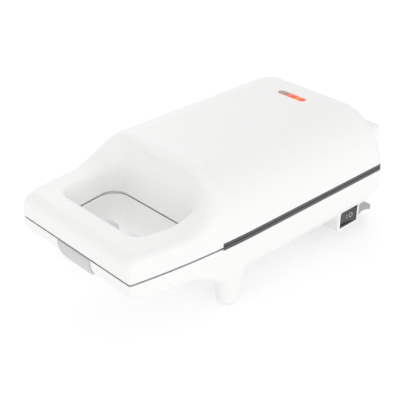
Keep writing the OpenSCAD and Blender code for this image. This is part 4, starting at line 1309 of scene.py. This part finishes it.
@dataclass
class Stand:
    """Rear stand: shelf under the tub, a lip for winding the lead and two feet."""

    shell: Shell
    finishes: Finishes
    start: float = 214.7
    tip: float = 47.9
    lip_y: float = 228.4
    rear_r: float = 6.0
    half: float = 50.0
    tongue_half: float = 33.0
    foot_r: float = 7.0
    head_r: float = 3.0

    def build(self) -> None:
        """Builds and seats the stand."""
        shell, tip, lip = self.shell, -self.tip, self.lip_y
        top, low, end = -shell.tub_depth, -shell.tub_depth - shell.stand_t, WHOLE_LENGTH
        corners = [(self.start, top), (shell.length - self.rear_r, top), (end, shell.stand_t + tip), (end, tip),
                   (end - 6, 2 + tip), (lip + 3, 2.6 + tip), (lip, 0.7 + tip), (lip - 2.4, 0.7 + tip),
                   (lip - 4, low), (self.start, low)]
        stand = prism("stand_moulding", corners, -self.half, self.half, 0)
        bevel(stand, 0.7, 3, 25)
        reach = self.foot_r + 3
        shelf = block("shelf", (-self.tongue_half, shell.foot_y - reach, low),
                      (self.tongue_half, shell.foot_y + reach, top))
        bevel(shelf, 0.5, 2)
        work_on(stand, shelf, Cut.JOIN)
        r, ground, recess_r = self.foot_r, FOOT_GAP - SEAM_HEIGHT, shell.pad_r + shell.pad_fit
        foot = [(r - 1.4, ground), (r - 0.8, ground + 0.2), (r - 0.6, ground + 0.8), (r + 0.6, top - 1)]
        recess = [(recess_r, -60), (recess_r, shell.pad_h - SEAM_HEIGHT)]
        sink = [(self.head_r, low - 1), (self.head_r, low), (1.55, low + 1.6), (1.55, top + 1)]
        for side in (-1, 1):
            under, beside = (side * shell.foot_x, shell.foot_y, 0), (side * shell.screw_x, shell.screw_y, 0)
            work_on(stand, lathe("foot", foot, under), Cut.JOIN)
            work_on(stand, lathe("pad recess", recess, under), Cut.TAKE)
            work_on(stand, lathe("screw seat", sink, beside), Cut.TAKE)
        seat(stand, self.finishes.stand, Body.BASE, "grey_plastic", "rear_stand")


# ---------------------------------------------------------------- screws and pads


@dataclass
class Fasteners:
    """Cross-recessed screws and rubber pads, each kind set on its places by one group."""

    shell: Shell
    finishes: Finishes
    repeater: Repeater
    shank_r: float = 1.5
    head_r: float = 2.9
    head_h: float = 1.6
    length: float = 9.0
    plate_side: float = 15.0
    plate_front: float = 5.5
    plate_rear: float = 8.3
    arm_x: float = 51.0
    arm_y: float = 40.0
    beside_x: float = 29.0

    def screw(self) -> Thing:
        """Builds one screw with its head upwards at the frame's origin."""
        at = (0, WHOLE_LENGTH / 2, -SEAM_HEIGHT)
        profile = [(self.shank_r, -self.length), (self.shank_r, -self.head_h), (self.head_r - 0.05, -0.15),
                   (self.head_r - 0.25, -0.02)]
        screw = lathe("screw", profile, at, 28)
        for wide, deep in ((1.7, 0.4), (0.4, 1.7)):
            low = (-wide, at[1] - deep, at[2] - 1.1)
            work_on(screw, block("recess", low, (wide, at[1] + deep, at[2] + 1)), Cut.TAKE)
        return screw

    def pad(self) -> Thing:
        """Builds one rubber pad that stands on the frame's origin."""
        r, h = self.shell.pad_r, self.shell.pad_h
        profile = [(r - 1.6, 0.25), (r - 1.2, 0.0), (r - 0.4, 0.0), (r, 0.35), (r, h)]
        return lathe("pad", profile, (0, WHOLE_LENGTH / 2, -SEAM_HEIGHT))

    def set(self, node: str, places: Sequence[Point], z: float, body: Body, down: bool, seed: int,
            part: Thing) -> None:
        """Sets a part on places on either side of the middle.

        Args:
            node: CAD node that the copies stand for.
            places: Distance from the middle and from the front.
            z: Height of the heads.
            body: Body that carries them.
            down: Whether the heads face down.
            seed: Seed of the turns.
            part: The screw or pad.
        """
        pad = node == "rubber_pads"
        both = [(side * x, y, z) for x, y in places for side in (-1, 1)]
        finish = self.finishes.rubber if pad else self.finishes.steel
        made = self.repeater.make(f"{node}_set", both, part, finish, down, seed)
        mount(made, body, "rubber" if pad else "screw_steel", node)

    def build(self) -> None:
        """Builds and seats every screw and pad."""
        screw, pad = self.screw(), self.pad()
        x = self.shell.width / 2 - self.plate_side
        plate = [(x, self.shell.rim_front + self.plate_front), (x, self.shell.length - self.plate_rear)]
        cover = [(self.arm_x, self.arm_y), (self.beside_x, self.shell.hole_front / 2)]
        under = -self.shell.tub_depth - self.shell.stand_t
        self.set("lower_plate_screws", plate, 0.0, Body.BASE, False, 3, screw)
        self.set("upper_plate_screws", plate, HALF_GAP, Body.LID, True, 5, screw)
        self.set("lower_cover_screws", cover, -HALF_GAP, Body.BASE, False, 7, screw)
        self.set("upper_cover_screws", cover, HALF_GAP, Body.LID, True, 11, screw)
        self.set("stand_screws", [(self.shell.screw_x, self.shell.screw_y)], under, Body.BASE, True, 13, screw)
        pads = [(self.shell.leg_x, self.shell.leg_y), (self.shell.foot_x, self.shell.foot_y)]
        self.set("rubber_pads", pads, -SEAM_HEIGHT, Body.BASE, False, 17, pad)
        discard(screw)
        discard(pad)


# ---------------------------------------------------------------- light and camera


@dataclass(frozen=True)
class Studio:
    """Pale floor, soft lamps and the camera of the photograph."""

    azimuth: float = 46.9
    elevation: float = 30.0
    focal_px: float = 908.0
    frame_px: float = 400.0
    sensor: float = 36.0
    camera_at: Triple = (0.4028, -0.3897, 0.3667)
    surround: float = 0.92
    floor_glow: float = 0.55
    floor_tone: float = 0.5
    floor_bounce: float = 0.27
    floor_lit: float = 0.8
    floor_half: float = 4.0
    # shade_*: place, size, core and depth of a painted shadow on the floor beside the toaster
    shade_at: tuple[float, float] = (-0.065, 0.015)
    shade_reach: tuple[float, float] = (0.07, 0.12)
    shade_core: float = 0.15
    shade_depth: float = 0.52
    right_power: float = 9.4
    front_power: float = 4.1
    rear_power: float = 5.8

    def camera(self) -> None:
        """Sets the camera at the photograph's viewing angle."""
        a, e = math.radians(self.azimuth), math.radians(self.elevation)
        back = Vector((math.sin(a) * math.cos(e), -math.cos(a) * math.cos(e), math.sin(e)))
        right = Vector((math.cos(a), math.sin(a), 0))
        up = back.cross(right)
        data = bpy.data.cameras.new("camera")
        data.lens = self.focal_px / self.frame_px * self.sensor
        data.sensor_width = self.sensor
        data.clip_end = 20
        camera = bpy.data.objects.new("camera", data)
        turn = Matrix((right, up, back)).transposed().to_4x4()
        camera.matrix_world = Matrix.Translation(self.camera_at) @ turn
        bpy.context.scene.collection.objects.link(camera)
        bpy.context.scene.camera = camera

    def lamp(self, name: str, at: Sequence[float], size: float, power: float) -> None:
        """Hangs a square soft lamp that faces the toaster.

        Args:
            name: Name of the lamp.
            at: Its place in metres.
            size: Length of its side in metres.
            power: Its power in watts.
        """
        data = bpy.data.lights.new(name, "AREA")
        data.size = size
        data.energy = power
        lamp = bpy.data.objects.new(name, data)
        lamp.location = at
        lamp.rotation_euler = (Vector(at) - Vector((0, 0, 0.05))).to_track_quat("Z", "Y").to_euler()
        bpy.context.scene.collection.objects.link(lamp)

    def floor(self) -> None:
        """Lays the pale floor, which keeps the toaster's cast shadow and carries a painted shadow that shows behind
        the finger hole.
        """
        mesh, r = bpy.data.meshes.new("floor"), self.floor_half
        mesh.from_pydata([(-r, -r, 0), (r, -r, 0), (r, r, 0), (-r, r, 0)], [], [(0, 1, 2, 3)])
        floor = bpy.data.objects.new("floor", mesh)
        bpy.context.scene.collection.objects.link(floor)
        nodes = Nodes("pale_floor")
        nodes.tree.nodes.remove(nodes.shader)
        # painted shadow: this patch darkens both the floor's seen glow and its diffuse colour
        shade = self.shade(nodes)
        seen = nodes.add("ShaderNodeEmission")
        nodes.link(nodes.calc("MULTIPLY", shade, self.floor_glow), seen.inputs["Strength"])
        soft = nodes.add("ShaderNodeBsdfDiffuse")
        nodes.link(nodes.blend(shade, (0, 0, 0), (self.floor_tone,) * 3), soft.inputs["Color"])
        lit = nodes.add("ShaderNodeBsdfDiffuse")
        lit.inputs["Color"].default_value = (*(self.floor_lit,) * 3, 1)
        bounce = nodes.add("ShaderNodeEmission")
        bounce.inputs["Strength"].default_value = self.floor_bounce
        path = nodes.add("ShaderNodeLightPath").outputs
        either = nodes.calc("MAXIMUM", path["Is Camera Ray"], path["Is Glossy Ray"])
        mix = nodes.add("ShaderNodeMixShader")
        nodes.link(either, mix.inputs["Fac"])
        for k, pair in ((1, (lit, bounce)), (2, (seen, soft))):
            both = nodes.add("ShaderNodeAddShader")
            nodes.link(pair[0].outputs[0], both.inputs[0])
            nodes.link(pair[1].outputs[0], both.inputs[1])
            nodes.link(both.outputs[0], mix.inputs[k])
        nodes.link(mix.outputs[0], nodes.tree.nodes["Material Output"].inputs["Surface"])
        floor.data.materials.append(nodes.material)

    def shade(self, nodes: Nodes) -> Socket:
        """Returns the floor's brightness: 1, and less in a painted shadow, a soft darker patch along the toaster's
        far side.
        """
        parts = nodes.place_parts()
        squares = []
        for axis, middle, reach in zip("XY", self.shade_at, self.shade_reach):
            share = nodes.calc("DIVIDE", nodes.calc("SUBTRACT", parts[axis], middle), reach)
            squares.append(nodes.calc("MULTIPLY", share, share))
        away = nodes.calc("SQRT", nodes.calc("ADD", *squares))
        shade = nodes.add("ShaderNodeMapRange", interpolation_type="SMOOTHSTEP")
        nodes.link(away, shade.inputs["Value"])
        shade.inputs["From Min"].default_value = self.shade_core
        shade.inputs["To Min"].default_value = 1 - self.shade_depth
        return shade.outputs["Result"]

    def world(self) -> None:
        """Sets a pale surround that shows white behind the toaster."""
        world = bpy.data.worlds.new("surround")
        bpy.context.scene.world = world
        world.use_nodes = True
        tree = world.node_tree
        tree.nodes.clear()
        out = tree.nodes.new("ShaderNodeOutputWorld")
        dim = tree.nodes.new("ShaderNodeBackground")
        dim.inputs["Strength"].default_value = self.surround
        white = tree.nodes.new("ShaderNodeBackground")
        for node in (dim, white):
            node.inputs["Color"].default_value = (1, 1, 1, 1)
        path = tree.nodes.new("ShaderNodeLightPath")
        mix = tree.nodes.new("ShaderNodeMixShader")
        tree.links.new(path.outputs["Is Camera Ray"], mix.inputs["Fac"])
        tree.links.new(dim.outputs[0], mix.inputs[1])
        tree.links.new(white.outputs[0], mix.inputs[2])
        tree.links.new(mix.outputs[0], out.inputs["Surface"])

    def build(self) -> None:
        """Sets up the camera, the floor and the light."""
        self.camera()
        self.floor()
        self.world()
        self.lamp("right_lamp", (2.4, -0.2, 0.3), 0.9, self.right_power)
        self.lamp("front_lamp", (-0.1, -2.4, 0.4), 0.9, self.front_power)
        self.lamp("rear_lamp", (-1.9, 0.9, 1.2), 1.2, self.rear_power)
        bpy.context.scene.view_settings.view_transform = "Standard"


def main() -> None:
    """Builds the scene in order."""
    logging.basicConfig(level=logging.INFO, format="%(name)s: %(message)s")
    Studio().build()
    finishes = Finishes()
    shell = Shell()
    Lid(shell, finishes).build()
    Casing(shell, finishes).build()
    Plates(shell, finishes).build()
    Latch(finishes).build()
    Switch(shell, finishes).build()
    Stand(shell, finishes).build()
    Fasteners(shell, finishes, Repeater()).build()


if __name__ == "__main__":
    main()
